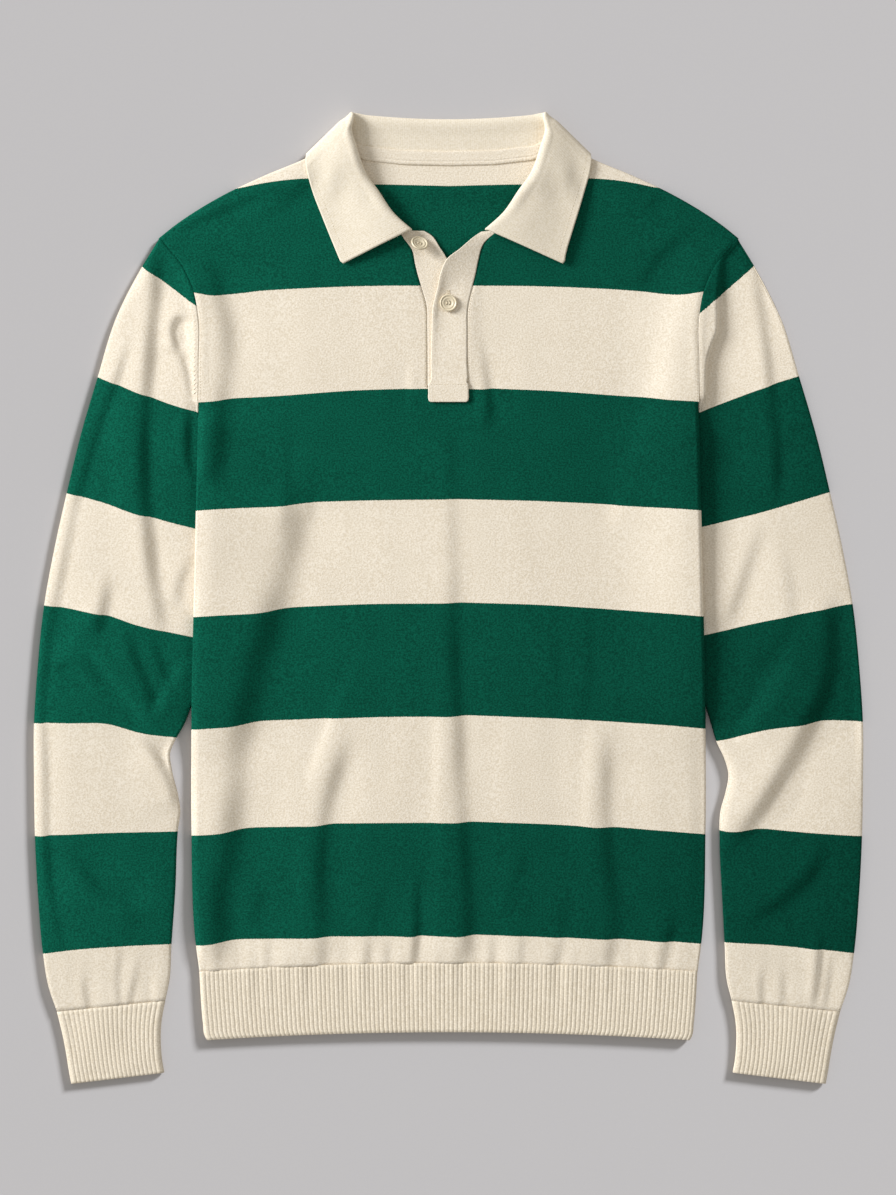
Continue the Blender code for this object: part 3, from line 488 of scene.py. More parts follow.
back_panel = cloth("back_panel", back, BODY_WALL, back_chart, striped_jersey)
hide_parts("body_back")

# ---- the front panel ----
# The same jersey, lying on the back, cut out for the neck and slit for the placket. It falls
# from the chest in long soft folds, and is eased into the hem rib with small gathers.

FRONT_STEP = 2.75                         # spacing of the front's grid, finer for its folds
FRONT_LOWER_STEP = 2.8
FRONT_ACROSS = 192.0                      # about the width from the placket to the side
FRONT_RISE = 172.0                        # about the mean height above the underarm
TUCKED_RIM = 0.12                         # a border that lies in a seam stands out less
BESIDE_PLACKET = 1.1                      # how far the front stands up right of the placket
BESIDE_PLACKET_ENDS = {"side": (15, 30), "foot": (164, 184), "top": (250, 290)}
RIPPLE_FROM_EDGE = (2, 13)                # ripples grow from the first to the second distance inside
PLACKET_FOOT_Y = 160
PLACKET_CLEAR = (17, 30)                  # folds grow from the first to the second distance off it
UNDER_COLLAR_Y = (296, 316)               # folds die out between these, beneath the collar
UNDER_COLLAR_X = (112, 124)
ARMHOLE_RIDGE = 0.3
ARMHOLE_GROOVE = 0.15
FRONT_STRIPE_SHIFT = 0.5                  # how far a fold's height bends the stripes
PLACKET_SEWN = {
    "left": [(17.3, 172), (17.3, 196), (17.3, 220), (18.1, 239.4), (22.4, 255), (25, 263.1), (27.8, 273.8),
             (30.2, 285), (36.3, 293.4), (41.6, 301.2)],
    "right": [(15.4, 172), (15.4, 196), (15.4, 220), (15.7, 236.2), (19.7, 255), (22, 264.5), (24.5, 277),
              (27, 286.6), (31.8, 293.6), (41.6, 301.2)],
}
NECK_SEWN = [(52.3, 307.6), (66.4, 318), (76.4, 327.5), (85.5, 342.8), (90.2, 360), (90.6, 373.2)]
FRONT_FOLDS = [
    (6, 0.9, [(-104, 320), (-120, 328), (-138, 333), (-160, 328), (-187, 316), (-209, 307), (-228, 296)]),
    (14, 2.1, [(-201, 293), (-196, 275), (-191, 260), (-187, 244), (-182, 223), (-181, 203), (-182, 185),
          (-185, 166), (-187, 141), (-188, 125), (-191, 105), (-196, 82)]),
    (20, 2.9, [(-128, 105), (-125, 80), (-126, 55), (-130, 35), (-137, 10), (-144, -12), (-151, -35),
          (-159, -59), (-164, -84), (-169, -109), (-173, -133), (-174, -158), (-177, -182), (-179, -207),
          (-184, -228), (-188, -244), (-188, -260), (-187, -277), (-186, -310)]),
    (6, 0.35, [(-135, 150), (-133, 121), (-132, 96), (-133, 72), (-138, 47)]),
    (6, 0.35, [(-115, 125), (-113, 100), (-112, 80), (-114, 55)]),
    (12, 1.7, [(-79, -102), (-85, -121), (-92, -143), (-99, -166), (-103, -189), (-105, -215),
          (-105, -244), (-104, -269), (-105, -318)]),
    (7, -0.45, [(-68, -28), (-79, -55), (-91, -84), (-101, -113), (-112, -141), (-118, -166)]),
    (8, -0.4, [(-10, -76), (-10, -133), (-11, -182), (-10, -232), (-13, -277)]),
    (8, -0.5, [(-124, -178), (-124, -215), (-122, -248), (-119, -277)]),
    (10, 0.6, [(0, 150), (3, 74), (4, 33), (7, -8)]),
    (11, 1.6, [(4, 31), (4, -8), (5, -57), (8, -98), (9, -139), (11, -177), (13, -203), (15, -232),
          (16, -262), (14, -312)]),
    (11, 1.35, [(129, -98), (129, -139), (129, -170), (130, -199), (132, -223), (135, -248), (136, -266),
          (133, -287), (124, -314)]),
    (8, -0.35, [(114, -84), (114, -125), (112, -166), (110, -207)]),
    (6, 0.35, [(118, 6), (116, -35), (114, -76), (108, -117)]),
    (6, 0.3, [(88, -10), (88, -51), (90, -100)]),
    (7, 0.9, [(186, -252), (183, -269), (179, -285), (172, -314)]),
    (6, 0.6, [(97, -235), (95, -264), (92, -285), (85, -314)]),
    (4, 0.45, [(36, -269), (36, -285), (35, -312)]),
    (4, 0.45, [(61, -269), (60, -285), (60, -312)]),
    (5, 1.2, [(-24, -219), (-26, -248), (-26, -269), (-28, -293), (-30, -318)]),
    (4, 0.55, [(-67, -273), (-66, -289), (-67, -314)]),
    (4, 0.4, [(-50, -275), (-50, -289), (-51, -314)]),
    (4, 0.5, [(-147, -276), (-149, -289), (-150, -314)]),
    (4, 0.35, [(-126, -276), (-125, -289), (-127, -314)]),
    (8, 0.5, [(-153, -232), (-157, -252), (-163, -273)]),
    (6, 0.35, [(-48, -223), (-56, -248), (-65, -281)]),
    (7, 0.4, [(70, -191), (62, -215), (50, -248), (44, -273)]),
    (8, 0.9, [(205, 306), (193, 296), (180, 287), (169, 275), (160, 260), (155, 244)]),
    (6, 0.4, [(180, 331), (168, 323), (158, 316)]),
    (20, -1.0, [(206, 293), (196, 269), (188, 244), (182, 223), (176, 203), (172, 174), (169, 141)]),
    (12, -0.5, [(165, 166), (159, 137), (150, 113), (140, 84), (132, 47)]),
    (6, 1.0, [(27, 219), (28, 201), (30, 187), (32, 170), (34, 154), (32, 133)]),
    (4, -0.3, [(-31, 200), (-33, 175), (-31, 148)]),
    (4, 0.45, [(27, 142), (11, 139), (-7, 141), (-23, 151)]),
]


def ripple(x, y):
    """Faint upright ripples all over, no two alike: products of sines whose phases wander, deeper
    towards the hem, and short gathers just above the rib."""
    wander = 1.4 * np.sin(y / 83 + x / 190) + 0.8 * np.sin(y / 37 - x / 90)
    long_ones = np.sin(x / 6.1 + wander) * np.sin(x / 19 + y / 160 + 0.8) + 0.5 * np.sin(x / 9.7 - wander + 2)
    broad = np.sin(x / 41 + 0.7 * np.sin(y / 57)) * np.sin(y / 66 + 0.6 * np.sin(x / 71) + 1)
    gathers = np.sin(x / 2.45 + 1.1 * np.sin(x / 23)) + 0.7 * np.sin(x / 3.9 + 1)
    deep = 0.05 + 0.13 * ease(-y, -120, 260)
    above_hem = np.exp(-np.maximum(y - HEM_TOP_Y, 0) / 13)
    return deep * long_ones + 0.3 * broad + 0.2 * above_hem * gathers


def from_armhole(x, y):
    """Distance inside the armhole seam, above the underarm."""
    return curve(y, ARMHOLE["y"], ARMHOLE["x"]) - np.abs(x)


FRONT_OVER_SLEEVE = {"side": (-90, 4), "foot": (-140, -80), "top": (135, 160)}


def front_lift(x, y):
    """How much higher the front lies over the sleeves' tucked folds: it spans the back's step in
    one long slope."""
    inside = side_half_width(y) - np.abs(x)
    return TUCK_LIFT * over_sleeve(inside, y, FRONT_OVER_SLEEVE) + COLLAR_LIFT * over_fall(np.abs(x), y)


# On the right the body's side stands up over the sleeve, from the hip to the shoulder.
SIDE_RISE = {"y": [-150, -100, -40, 60, 140, 200, 240, 270, 295],
             "up": [0, 1.2, 3.0, 4.0, 4.6, 4.6, 3.8, 2.2, 0.8]}


def side_rise(x, y):
    """The rise eases up over the last 65 mm to the edge, and rounds down into the side seam."""
    inside = np.where(y < UNDERARM_Y, side_half_width(y) - x, from_armhole(x, y))
    rounded = np.maximum(ease(inside, -0.6, 3.2), ease(y, 148, 162))
    return curve(y, SIDE_RISE["y"], SIDE_RISE["up"]) * ease(-inside, -65, 0) * rounded * (x > 0)


def front_middle(x, y):
    """Height of the middle of the front's wall."""
    edge = np.where(y < UNDERARM_Y, side_half_width(y), from_armhole(0, y)) + 9 * ease(y, 150, 166)
    inside = np.minimum(edge - np.abs(x), (shoulder_y(np.abs(x)) - y) * SHOULDER_LEAN)
    calm = ease(inside, *RIPPLE_FROM_EDGE)
    at_placket = ease(np.hypot(np.abs(x), np.maximum(PLACKET_FOOT_Y - y, 0)), *PLACKET_CLEAR)
    at_neck = 1 - ease(y, *UNDER_COLLAR_Y) * (1 - ease(np.abs(x), *UNDER_COLLAR_X))
    seam = from_armhole(x, y)
    ridge = (ARMHOLE_RIDGE * np.exp(-((seam - 4) / 3) ** 2)
             - ARMHOLE_GROOVE * np.exp(-(seam / 1.3) ** 2)) * ease(y, 160, 185)
    shaped = (wrinkles(FRONT_FOLDS, x, y) * at_neck + ripple(x, y) * calm * at_neck) * at_placket
    ends = BESIDE_PLACKET_ENDS
    beside_placket = (BESIDE_PLACKET * (1 - ease(x, *ends["side"])) * (x > 0)
                      * ease(y, *ends["foot"]) * (1 - ease(y, *ends["top"])))
    return (front_lift(x, y) + side_rise(x, y) + BODY_HEIGHT - BODY_WALL / 2 + shaped * ease(inside, 0, 6)
            + beside_placket + ridge * ease(inside, 0, 4))


def running(steps, axis=0):
    """The running total of steps along an axis, from 0."""
    start = np.zeros_like(np.take(steps, [0], axis=axis))
    return np.cumsum(np.concatenate([start, steps], axis=axis), axis=axis)


def on_front_cloth(x, y):
    """Places on the front's upper side."""
    return np.column_stack([x, y, front_middle(x, y) + BODY_WALL / 2])


def front_half(sewn):
    """Plan of one half: from the hem to the notch's foot, then up the placket and the neck."""
    edge = np.array([*sewn, *NECK_SEWN], float)
    knots = running(np.hypot(*np.diff(edge, axis=0).T))
    across = shares(FRONT_ACROSS, FRONT_STEP)
    rise = shares(FRONT_RISE, FRONT_STEP)
    inner = curve(rise * knots[-1], knots, edge)
    lower = lower_part(inner[0, 0], inner[0, 1], across, FRONT_LOWER_STEP)
    top_x = line_between((NECK_X, 0), (SHOULDER_END_X, 0), across)[:, 0]
    top = np.column_stack([top_x, shoulder_y(top_x) - BODY_WALL / 2])
    upper = upper_part(inner, rise, across, top)
    return np.concatenate([lower[:-1], upper]), len(lower)


left, joined_rows = front_half(PLACKET_SEWN["left"])
right, _ = front_half(PLACKET_SEWN["right"])
left = mirrored(left)[:, ::-1]
between = left[:, -1:] + (right[:, :1] - left[:, -1:]) * np.linspace(0, 1, 13)[None, 1:-1, None]
plan = np.concatenate([left, between, right], axis=1)
present = np.ones((plan.shape[0] - 1, plan.shape[1] - 1), bool)
present[joined_rows - 1:, left.shape[1] - 1:left.shape[1] + between.shape[1]] = False
x, y = plan[..., 0], plan[..., 1]
front = np.dstack([plan, front_middle(x, y) - to_seam(x, y)])
lift = wrinkles(FRONT_FOLDS, x, y)
front_chart = np.dstack([x, STRIPE * stripe_place(x, y + FRONT_STRIPE_SHIFT * lift, BODY_STRIPES)])
front_panel = cloth("front_panel", front, BODY_WALL, front_chart, striped_jersey, present=present,
                    rim_out=TUCKED_RIM)
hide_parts("body_front")

# ---- the sleeves ----
# Each is one striped tube, shaped by fashioning, linked into its armhole and under the arm.
# It lies flat beside the body with its inner fold tucked beneath the body's side.

SLEEVE_HEIGHT = 4.4
TUCK = 9.0
TUCK_TOP = (10, 36)                       # below the underarm, where the tuck begins and is full
TUCK_FOOT = (-96, -62)
SLEEVE_FREE_Y = -84                       # below this the inner fold lies free of the body
SLEEVE_CROWN = 1.5
SLEEVE_RIPPLE = 0.35
SLEEVE_STRIPE_SHIFT = 0.4
ARMHOLE_WELT = 0.3
CHART_APART = 400                         # keeps the two sleeves' charts apart
SLEEVE_RINGS = 225
SLEEVE_COLUMNS = 38
SLEEVE_OUTER = {"y": [-339.6, -319, -293, -245, -196.4, -148, -104, -60, -7, 40, 85, 130.8, 180,
                      234, 271, 294.8],
                "x": [321.6, 328.5, 332.8, 337, 339.5, 340.3, 340.3, 337.5, 332, 323.5, 313.5, 302.5, 288.2,
                      271, 252, 237.5]}
SLEEVE_ROWS = {
    "outer_y": [294.8, 268, 236, 196, 145, 90, 30, -25, -64, -92, -117, -142, -168, -205, -250, -293, -339.6],
    "inner_y": [158, 142, 122, 92, 56, 12, -40, -76, -94, -107, -122, -138, -158, -185, -235, -285, -330.6],
    "armhole": [1, 0.7, 0.4, 0.16, 0.04, 0, 0, 0, 0, 0, 0, 0, 0, 0, 0, 0, 0],
}
SLEEVE_INNER = {
    "left": {"y": [-330.6, -315, -285, -241, -190, -174, -163, -141, -127, -117, -104, -84],
             "x": [232.5, 229.2, 227.4, 224.3, 222.0, 220.2, 221.8, 227.1, 228.4, 224.3, 216.9, 209.5]},
    "right": {"y": [-330.6, -315, -285, -241, -200, -174, -160, -145, -131, -118, -104, -84],
              "x": [232.5, 228.6, 226.7, 224.4, 222.6, 223.5, 227.4, 229.7, 226.0, 219.8, 215.5, 209.5]},
}
SLEEVE_STRIPES = {
    "left": {"x": [205, 230, 255, 280, 310, 341],
             "y": [[400, 402, 404, 406, 408, 410], [236.5, 254.8, 273, 290, 310, 330],
                   [151.2, 158.2, 167.3, 177, 188, 199],
                   [55, 61, 67.8, 75.9, 84, 92], [-34, -29, -23.4, -15.6, -10, -6],
                   [-115.5, -115, -111.4, -104.5, -103.8, -103.7],
                   [-191.9, -192.5, -193, -193.7, -195, -196.4],
                   [-284.5, -285, -286, -287.3, -290, -294]]},
    "right": {"x": [205, 230, 255, 280, 310, 341],
              "y": [[400, 402, 404, 406, 408, 410], [230.3, 252.7, 275, 297, 320, 345],
                    [151.3, 160.7, 170, 178.2, 188, 198],
                    [56.5, 62.5, 68.6, 75.8, 84.9, 94], [-32.7, -27, -21.3, -15.8, -9.9, -4],
                    [-120, -116.4, -108.8, -104.8, -102.7, -102.6],
                    [-189, -192, -191.2, -193, -194.8, -196.4],
                    [-282, -283.6, -285, -287, -290, -293.2]]},
}
SLEEVE_FOLDS = {
    "left": [
        (8, 1.9, [(-240, 297), (-240, 252), (-243, 223), (-245, 199), (-248, 162), (-250, 129), (-250, 105),
              (-249, 80), (-246, 51), (-243, 23), (-238, -6), (-232, -35)]),
        (5, 1.7, [(-204, 221), (-214, 228), (-222, 228), (-226, 219), (-224, 208), (-222, 198)]),
        (6, 0.9, [(-224, 219), (-223, 207), (-219, 196), (-214, 183), (-210, 167), (-205, 150)]),
        (11, -0.8, [(-270, 178), (-274, 150), (-274, 121), (-272, 92), (-270, 60)]),
        (12, -1.0, [(-298, 2), (-306, -27), (-316, -52)]),
        (4, 0.8, [(-258, 225), (-270, 185), (-276, 168), (-288, 138), (-298, 102), (-303, 88), (-309, 61),
              (-317, 20), (-323, -10), (-330, -51), (-333, -84), (-331, -125), (-330, -166), (-330, -193),
              (-327, -234), (-322, -262), (-314, -295)]),
        (6, 1.4, [(-213, 162), (-214, 137), (-214, 117), (-211, 96)]),
        (6, 0.9, [(-207, 35), (-215, 23), (-221, 8), (-220, -10)]),
        (7, 1.4, [(-279, 23), (-281, 2), (-284, -14), (-290, -35)]),
        (6, 1.6, [(-269, -17), (-262, -36), (-255, -55), (-246, -76), (-237, -99)]),
        (6, 1.7, [(-246, -27), (-240, -45), (-233, -61), (-226, -82)]),
        (7, 1.4, [(-287, -79), (-299, -64), (-312, -55), (-327, -58)]),
        (7, -1.7, [(-302, -35), (-287, -53), (-271, -73), (-255, -92), (-241, -111)]),
        (6, -1.5, [(-212, -47), (-223, -61), (-234, -80), (-243, -102)]),
        (7, 1.9, [(-255, -109), (-243, -125), (-232, -141), (-224, -158), (-217, -178)]),
        (9, 2.4, [(-319, -212), (-304, -222), (-290, -235), (-276, -245), (-261, -253), (-246, -260)]),
        (3.5, 0.8, [(-271, -278), (-270, -295), (-272, -316), (-269, -342)]),
        (3.5, 0.6, [(-253, -286), (-255, -300), (-258, -316), (-264, -342)]),
        (3.5, 0.5, [(-301, -306), (-298, -324), (-295, -342)]),
        (4, -0.4, [(-244, -304), (-242, -320), (-241, -342)]),
    ],
    "right": [
        (7, 1.2, [(249, 293), (252, 275), (255, 252), (259, 219), (263, 187), (266, 154), (269, 121),
              (269, 72)]),
        (9, 1.1, [(258, 70), (254, 51), (248, 32), (241, 10), (234, -10), (226, -31)]),
        (8, 0.55, [(272, 55), (277, 27), (281, -2), (279, -25), (270, -39), (259, -51), (246, -68)]),
        (13, 3.0, [(311, 8), (314, -23), (314, -47), (309, -76), (297, -102), (285, -127), (271, -151),
              (257, -173), (243, -191), (229, -211)]),
        (14, -2.0, [(290, -20), (280, -48), (264, -75), (247, -99), (229, -121)]),
        (10, 1.6, [(310, -187), (305, -211), (296, -228), (284, -240), (270, -251), (255, -260),
              (237, -269)]),
        (4.5, 1.1, [(305, -269), (304, -289), (302, -314), (298, -342)]),
        (3.5, 0.6, [(255, -300), (256, -316), (256, -342)]),
        (3.5, 0.6, [(315, -284), (313, -303), (308, -342)]),
        (4, 0.4, [(272, -300), (274, -318), (273, -342)]),
    ],
}


# On the right sleeve the cloth beside the armhole stays as high as the body, up to a crisp ledge.
LEDGE = {"y": [158, 175, 194, 206, 218, 235, 252, 268],
         "x": [209.8, 209.8, 210.9, 214.5, 219.2, 219.8, 220.2, 222.6]}
HOLLOW = 0.9                              # how far the cloth beyond the ledge sinks
HOLLOW_FOOT = (-130, -80)
HOLLOW_OUT = (14, 64)


def sleeve_plan(y, free):
    """The inner fold's x: beside the body, then tucked beneath it, then free down to the cuff."""
    tucked = TUCK * ease(UNDERARM_Y - y, *TUCK_TOP) * ease(y, *TUCK_FOOT)
    beside_body = side_half_width(y) + 0.4 * ease(y, 120, 150) - tucked
    return np.where(y > SLEEVE_FREE_Y, beside_body, curve(y, free["y"], free["x"]))


def tube(inner, outer, height, wall, across, crown):
    """Rings of a flattened tube in plan and height: each ring's upper layer from its inner to its
    outer fold, and its lower layer back. Each fold is a half circle as high as the tube."""
    radius = ((height - wall) / 2)[:, None]
    length = np.hypot(*(outer - inner).T)[:, None]
    bend = np.radians(np.arange(90, -1, -15))
    inset = wall / 2 + radius * (1 - np.sin(bend))
    flat_run = inset[:, -1:] + (length - 2 * inset[:, -1:]) * across
    away = np.concatenate([inset, flat_run, length - inset[:, ::-1]], axis=1)
    flat = np.zeros((len(inner), len(across)))
    drop = np.concatenate([radius * (1 - np.cos(bend)), flat, radius * (1 - np.cos(bend[::-1]))], axis=1)
    plan = inner[:, None] + (outer - inner)[:, None] * (away / length)[..., None]
    share = np.clip(away / length, 0, 1)
    raised = crown[:, None] * (4 * share * (1 - share)) ** 0.6
    return plan, height[:, None] - wall / 2 - drop, wall / 2 + drop, raised


def sleeve(side, sign):
    """The first ring follows the armhole's curve, and each later one runs straighter across."""
    knots = np.arange(len(SLEEVE_ROWS["outer_y"]))
    at = np.linspace(0, knots[-1], SLEEVE_RINGS)
    outer_y, inner_y, hold = (curve(at, knots, SLEEVE_ROWS[key]) for key in ("outer_y", "inner_y", "armhole"))
    outer = np.column_stack([curve(outer_y, SLEEVE_OUTER["y"], SLEEVE_OUTER["x"]), outer_y])
    inner = np.column_stack([sleeve_plan(inner_y, SLEEVE_INNER[side]), inner_y])
    height = SLEEVE_HEIGHT + (BODY_HEIGHT - SLEEVE_HEIGHT) * np.clip(hold, 0, 1) ** 3
    crown = SLEEVE_CROWN * ease(at, 0, 2.5) * (1 - 0.8 * ease(at, knots[-1] - 1.2, knots[-1]))
    even = np.linspace(0, 1, SLEEVE_COLUMNS)[1:-1]
    plan, upper, lower, raised = tube(inner, outer, height, BODY_WALL, even, crown)
    y = UNDERARM_Y + ARMHOLE_RISE * np.clip(
        (plan[..., 1] - inner[:, 1:2]) / (outer[:, 1:2] - inner[:, 1:2]), 0, 1)
    chord = ARMHOLE["x"][0] + (ARMHOLE["x"][-1] - ARMHOLE["x"][0]) * (y - UNDERARM_Y) / ARMHOLE_RISE
    plan[..., 0] += np.clip(hold, 0, 1)[:, None] * (curve(y, ARMHOLE["y"], ARMHOLE["x"]) - chord)
    plan[..., 0] *= sign
    x, y = plan[..., 0], plan[..., 1]
    free = np.clip(ease(np.abs(x) - side_half_width(y), 0, 7) + ease(y, 145, 160), 0, 1)
    edges = np.minimum(np.hypot(x - x[:, :1], y - y[:, :1]), np.hypot(x - x[:, -1:], y - y[:, -1:]))
    shaped = (wrinkles(SLEEVE_FOLDS[side], x, y) * ease(edges, 0, 5)
              + SLEEVE_RIPPLE * ripple(x + 40, y) * ease(edges, 0, 9))
    seam = -from_armhole(x, y)
    welt = ARMHOLE_WELT * np.exp(-((seam - 3) / 2) ** 2) * ease(y, 158, 170) * ease(at, 0, 0.3)[:, None]
    from_ledge = np.abs(x) - np.maximum(curve(y, LEDGE["y"], LEDGE["x"]), from_armhole(0, y))
    near = 1 - (ease(from_ledge, -0.5, 2.4) if side == "right" else ease(seam, 0, 12))
    near = near * ease(y, 150, 162) * (upper > lower + 0.5)
    join = front_middle(sign * from_armhole(0, y), y) - BODY_HEIGHT + BODY_WALL / 2
    hollow = (side == "right") * ease(y, *HOLLOW_FOOT) * (1 - ease(from_ledge, *HOLLOW_OUT))
    top = (upper + (raised * (1 - 0.8 * hollow) - HOLLOW * hollow + shaped) * free * (1 - near)
           + join * near + welt)
    floor = lower + BODY_WALL + 0.1
    top = np.where(upper > lower + 0.5, np.maximum(top, floor), top)
    rings = np.concatenate([np.dstack([plan, top]), np.dstack([plan, lower])[:, ::-1]], axis=1)
    loop = np.concatenate([rings, rings[:, :1]], axis=1)
    girth = running(np.linalg.norm(np.diff(loop, axis=1), axis=2), 1)
    place = STRIPE * stripe_place(loop[..., 0], loop[..., 1] + SLEEVE_STRIPE_SHIFT * np.concatenate(
        [shaped, 0 * shaped, 0 * shaped[:, :1]], axis=1), SLEEVE_STRIPES[side])
    chart = np.dstack([girth + CHART_APART * (sign + 2), place])
    made = cloth(f"{side}_sleeve", rings, BODY_WALL, chart, striped_jersey, closed=True, rim_out=TUCKED_RIM)
    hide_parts(f"sleeve_{side}")
    return made


left_sleeve = sleeve("left", -1)
right_sleeve = sleeve("right", 1)


MARK_SUNK = 0.33                          # how deep the fashioning marks lie in the knit


def sleeve_top_beside(x, y):
    """Height of the left sleeve's upper side nearest to a place in plan."""
    mesh = left_sleeve.data
    points = np.empty(len(mesh.vertices) * 3)
    mesh.vertices.foreach_get("co", points)
    points = points.reshape(-1, 3) / MM
    near = np.hypot(points[:, 0] - x, points[:, 1] - y) < 2.6
    return points[near, 2].max() - MARK_SUNK


# ---- the hem and cuffs ----
# Rib-knitted tubes, denser and springier than the jersey, linked to its edge so that it gathers.
# The ribs are 3.6 mm apart, and the lower corners of the hem are rounded.

RIB_WALL = 1.8
RIB_PITCH = 3.6
RIB_DEPTH = 0.42
CUFF = {"inner": [(232.6, -330.9), (235.6, -347), (236.4, -362), (235.4, -378), (233.4, -389.8)],
        "outer": [(321.4, -339.9), (317.2, -357), (314.2, -372), (311.8, -387), (309.6, -398.9)]}
HEM = {"share": [0, 0.38, 0.76, 0.95, 1.0], "half_width": [204.4, 203.2, 201.4, 199.8, 198.2]}
HEM_DEPTH = 56.5
HEM_RINGS = 22
HEM_COLUMNS = 90
CUFF_RINGS = 26
CUFF_COLUMNS = 30
POINTS_PER_RIB = 6


def ribs(distance):
    """Rounded ribs with narrow furrows, |cos|^0.7, over a distance round the tube."""
    return RIB_DEPTH * (np.abs(np.cos(np.pi * distance / RIB_PITCH)) ** 0.7 - 0.6)


def read_along(points, run, at):
    """Places at lengths along a chain of points, straight from one to the next."""
    return np.stack([np.interp(at, run, points[:, axis]) for axis in range(3)], axis=1)


def ribbed(name, plan, upper, lower, sign):
    """Adds ribs to a flat tube's rings and closes them into cloth. The ribs keep to the columns,
    so they narrow and turn with the tube."""
    loop = np.concatenate([np.dstack([plan, upper]), np.dstack([plan, lower])[:, ::-1]], axis=1)
    closed = np.concatenate([loop, loop[:, :1]], axis=1)
    steps = np.linalg.norm(np.diff(closed, axis=1), axis=2)
    girth = running(steps.mean(axis=0))
    count = np.round(girth[-1] / RIB_PITCH)
    even = np.linspace(0, girth[-1], int(count * POINTS_PER_RIB) + 1)
    fine = np.stack([read_along(ring, girth, even) for ring in closed])
    ahead, behind = np.roll(fine[:, :-1], -1, axis=1), np.roll(fine[:, :-1], 1, axis=1)
    along_ring = ahead - behind
    down = np.gradient(fine[:, :-1], axis=0)
    out = unit(np.cross(along_ring, down)) * sign
    wave = ribs(even[:-1] * RIB_PITCH * count / girth[-1])
    rings = fine[:, :-1] + out * wave[None, :, None]
    depth = running(np.linalg.norm(np.diff(fine.mean(axis=1), axis=0), axis=1))
    chart = np.dstack(np.broadcast_arrays(even, depth[:, None]))
    made = cloth(name, rings, RIB_WALL, chart, rib_knit, closed=True, rim_out=TUCKED_RIM)
    return made


# The rib is a little darker, with less nap. Its ribs are modelled, so they shade their own furrows.
rib_knit = knit("ribbed cotton knit", "#EBE0CD", "#D8CBB4", fuzz=0.25)
girth_shares = np.linspace(0, 1, CUFF_COLUMNS)[1:-1]


def cuff(side, sign):
    knots = np.arange(len(CUFF["inner"]))
    at = np.linspace(0, knots[-1], CUFF_RINGS)
    inner, outer = curve(at, knots, CUFF["inner"]), curve(at, knots, CUFF["outer"])
    height = np.full(len(at), SLEEVE_HEIGHT + 0.1)
    crown = 0.5 + 0.2 * ease(at, 0, 1) - 0.5 * ease(at, knots[-1] - 1, knots[-1])
    plan, upper, lower, raised = tube(inner, outer, height, RIB_WALL, girth_shares, crown)
    soft = 0.35 * np.sin(plan[..., 0] / 9 + 1) * np.sin(plan[..., 1] / 15)
    plan[..., 0] *= sign
    made = ribbed(f"{side}_cuff", plan, upper + raised + soft * (raised > 0.3), lower, -sign)
    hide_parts(f"cuff_{side}")
    return made


left_cuff = cuff("left", -1)
right_cuff = cuff("right", 1)

at = np.linspace(0, 1, HEM_RINGS)
half_width = curve(at, HEM["share"], HEM["half_width"])
ends = np.zeros((len(at), 1))
inner = np.column_stack([-half_width, ends])
outer = np.column_stack([half_width, ends])
plan, upper, lower, raised = tube(inner, outer, np.full(len(at), BODY_HEIGHT), RIB_WALL,
                                  np.linspace(0, 1, HEM_COLUMNS)[1:-1], 0.25 + 0 * at)
plan[..., 1] = (HEM_TOP_Y - HEM_BOW * (plan[..., 0] / HEM_TOP_HALF_WIDTH) ** 2 + 0.2
                - HEM_DEPTH * at[:, None])
soft = (ripple(plan[..., 0], plan[..., 1] * 0 + HEM_TOP_Y) * (1 - ease(at, 0.1, 0.8))[:, None]
        * (raised > 0.12))
hem = ribbed("hem_welt", plan, upper + raised + soft, lower, -1)
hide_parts("hem_rib")

# ---- the collar ----
# One knitted piece: a stand sewn to the neck, a soft fold, and a fall that lies over the
# shoulders and behind the neck. Its wales run from the neck to the outer edge, and a row of
# stitches holds the turned edge.

COLLAR_WALL = 1.8
RESTING = 0.4
FALL_RESTING = 0.7
COLLAR = {
    "seam": [(34, 302.2), (41, 303.4), (52, 308), (66, 318.5), (76, 328), (85, 343), (89.5, 360)],
    "fold": [(29.5, 301.0), (34, 304.8), (44.3, 314.5), (57.5, 333.5), (67, 347), (75.5, 370), (79.3, 386)],
    "edge": [(87.3, 273.5), (89, 277.5), (92, 284.8), (97.5, 298.2), (104, 314.5), (111, 333),
             (115.3, 348.5)],
    "stand_up": [2.2, 1.2, 0.2, 0, 0, 0, 0], "radius": [1.6, 1.8, 2.1, 2.5, 2.8, 3, 3],
}
RIGHT_EDGE_OUT = 7.5                        # the right point spreads further out, over 5 sections
RIGHT_EDGE_SECTIONS = 5
NECK_CORNER = np.array([NECK_X, 373.6])
EDGE_CORNER = np.array([118.2, 362.6])
BACK_FOLD_Y = 392.5
SHOULDER_TURNS = (0, 30, 60, 90, 120, 150, 180)
COLLAR_BACK_X = (70, 52, 27, 0)
COLLAR_STEP = 1.5                           # spacing of the collar's grid
FOLD_SMOOTHED = (4, 13)                     # full within the first distance, none past the second
CORNER_DRAWN, CORNER_DRAWN_OVER = 2.2, 3.5  # how far the edge is drawn in at the shoulders
POINT_DRAWN, POINT_DRAWN_OVER = 1.3, 1.5    # and at the two points
SMOOTHINGS = 24                             # of the fold, where it turns over the shoulders
STAND_SHARES = np.array([0.0, 0.3, 0.65])
ROLL_ANGLES = np.radians([-90, -40, 0, 40, 90])
FALL_SHARES = np.array([0.14, 0.32, 0.55, 0.78, 0.985, 1.0])
SHOULDER_MIDDLE = (COLLAR_LIFT + BODY_HEIGHT + RESTING + COLLAR_WALL) / 2
FALL_TURN = SHOULDER_MIDDLE - COLLAR_WALL / 2
STAND_LEVEL = 6.9
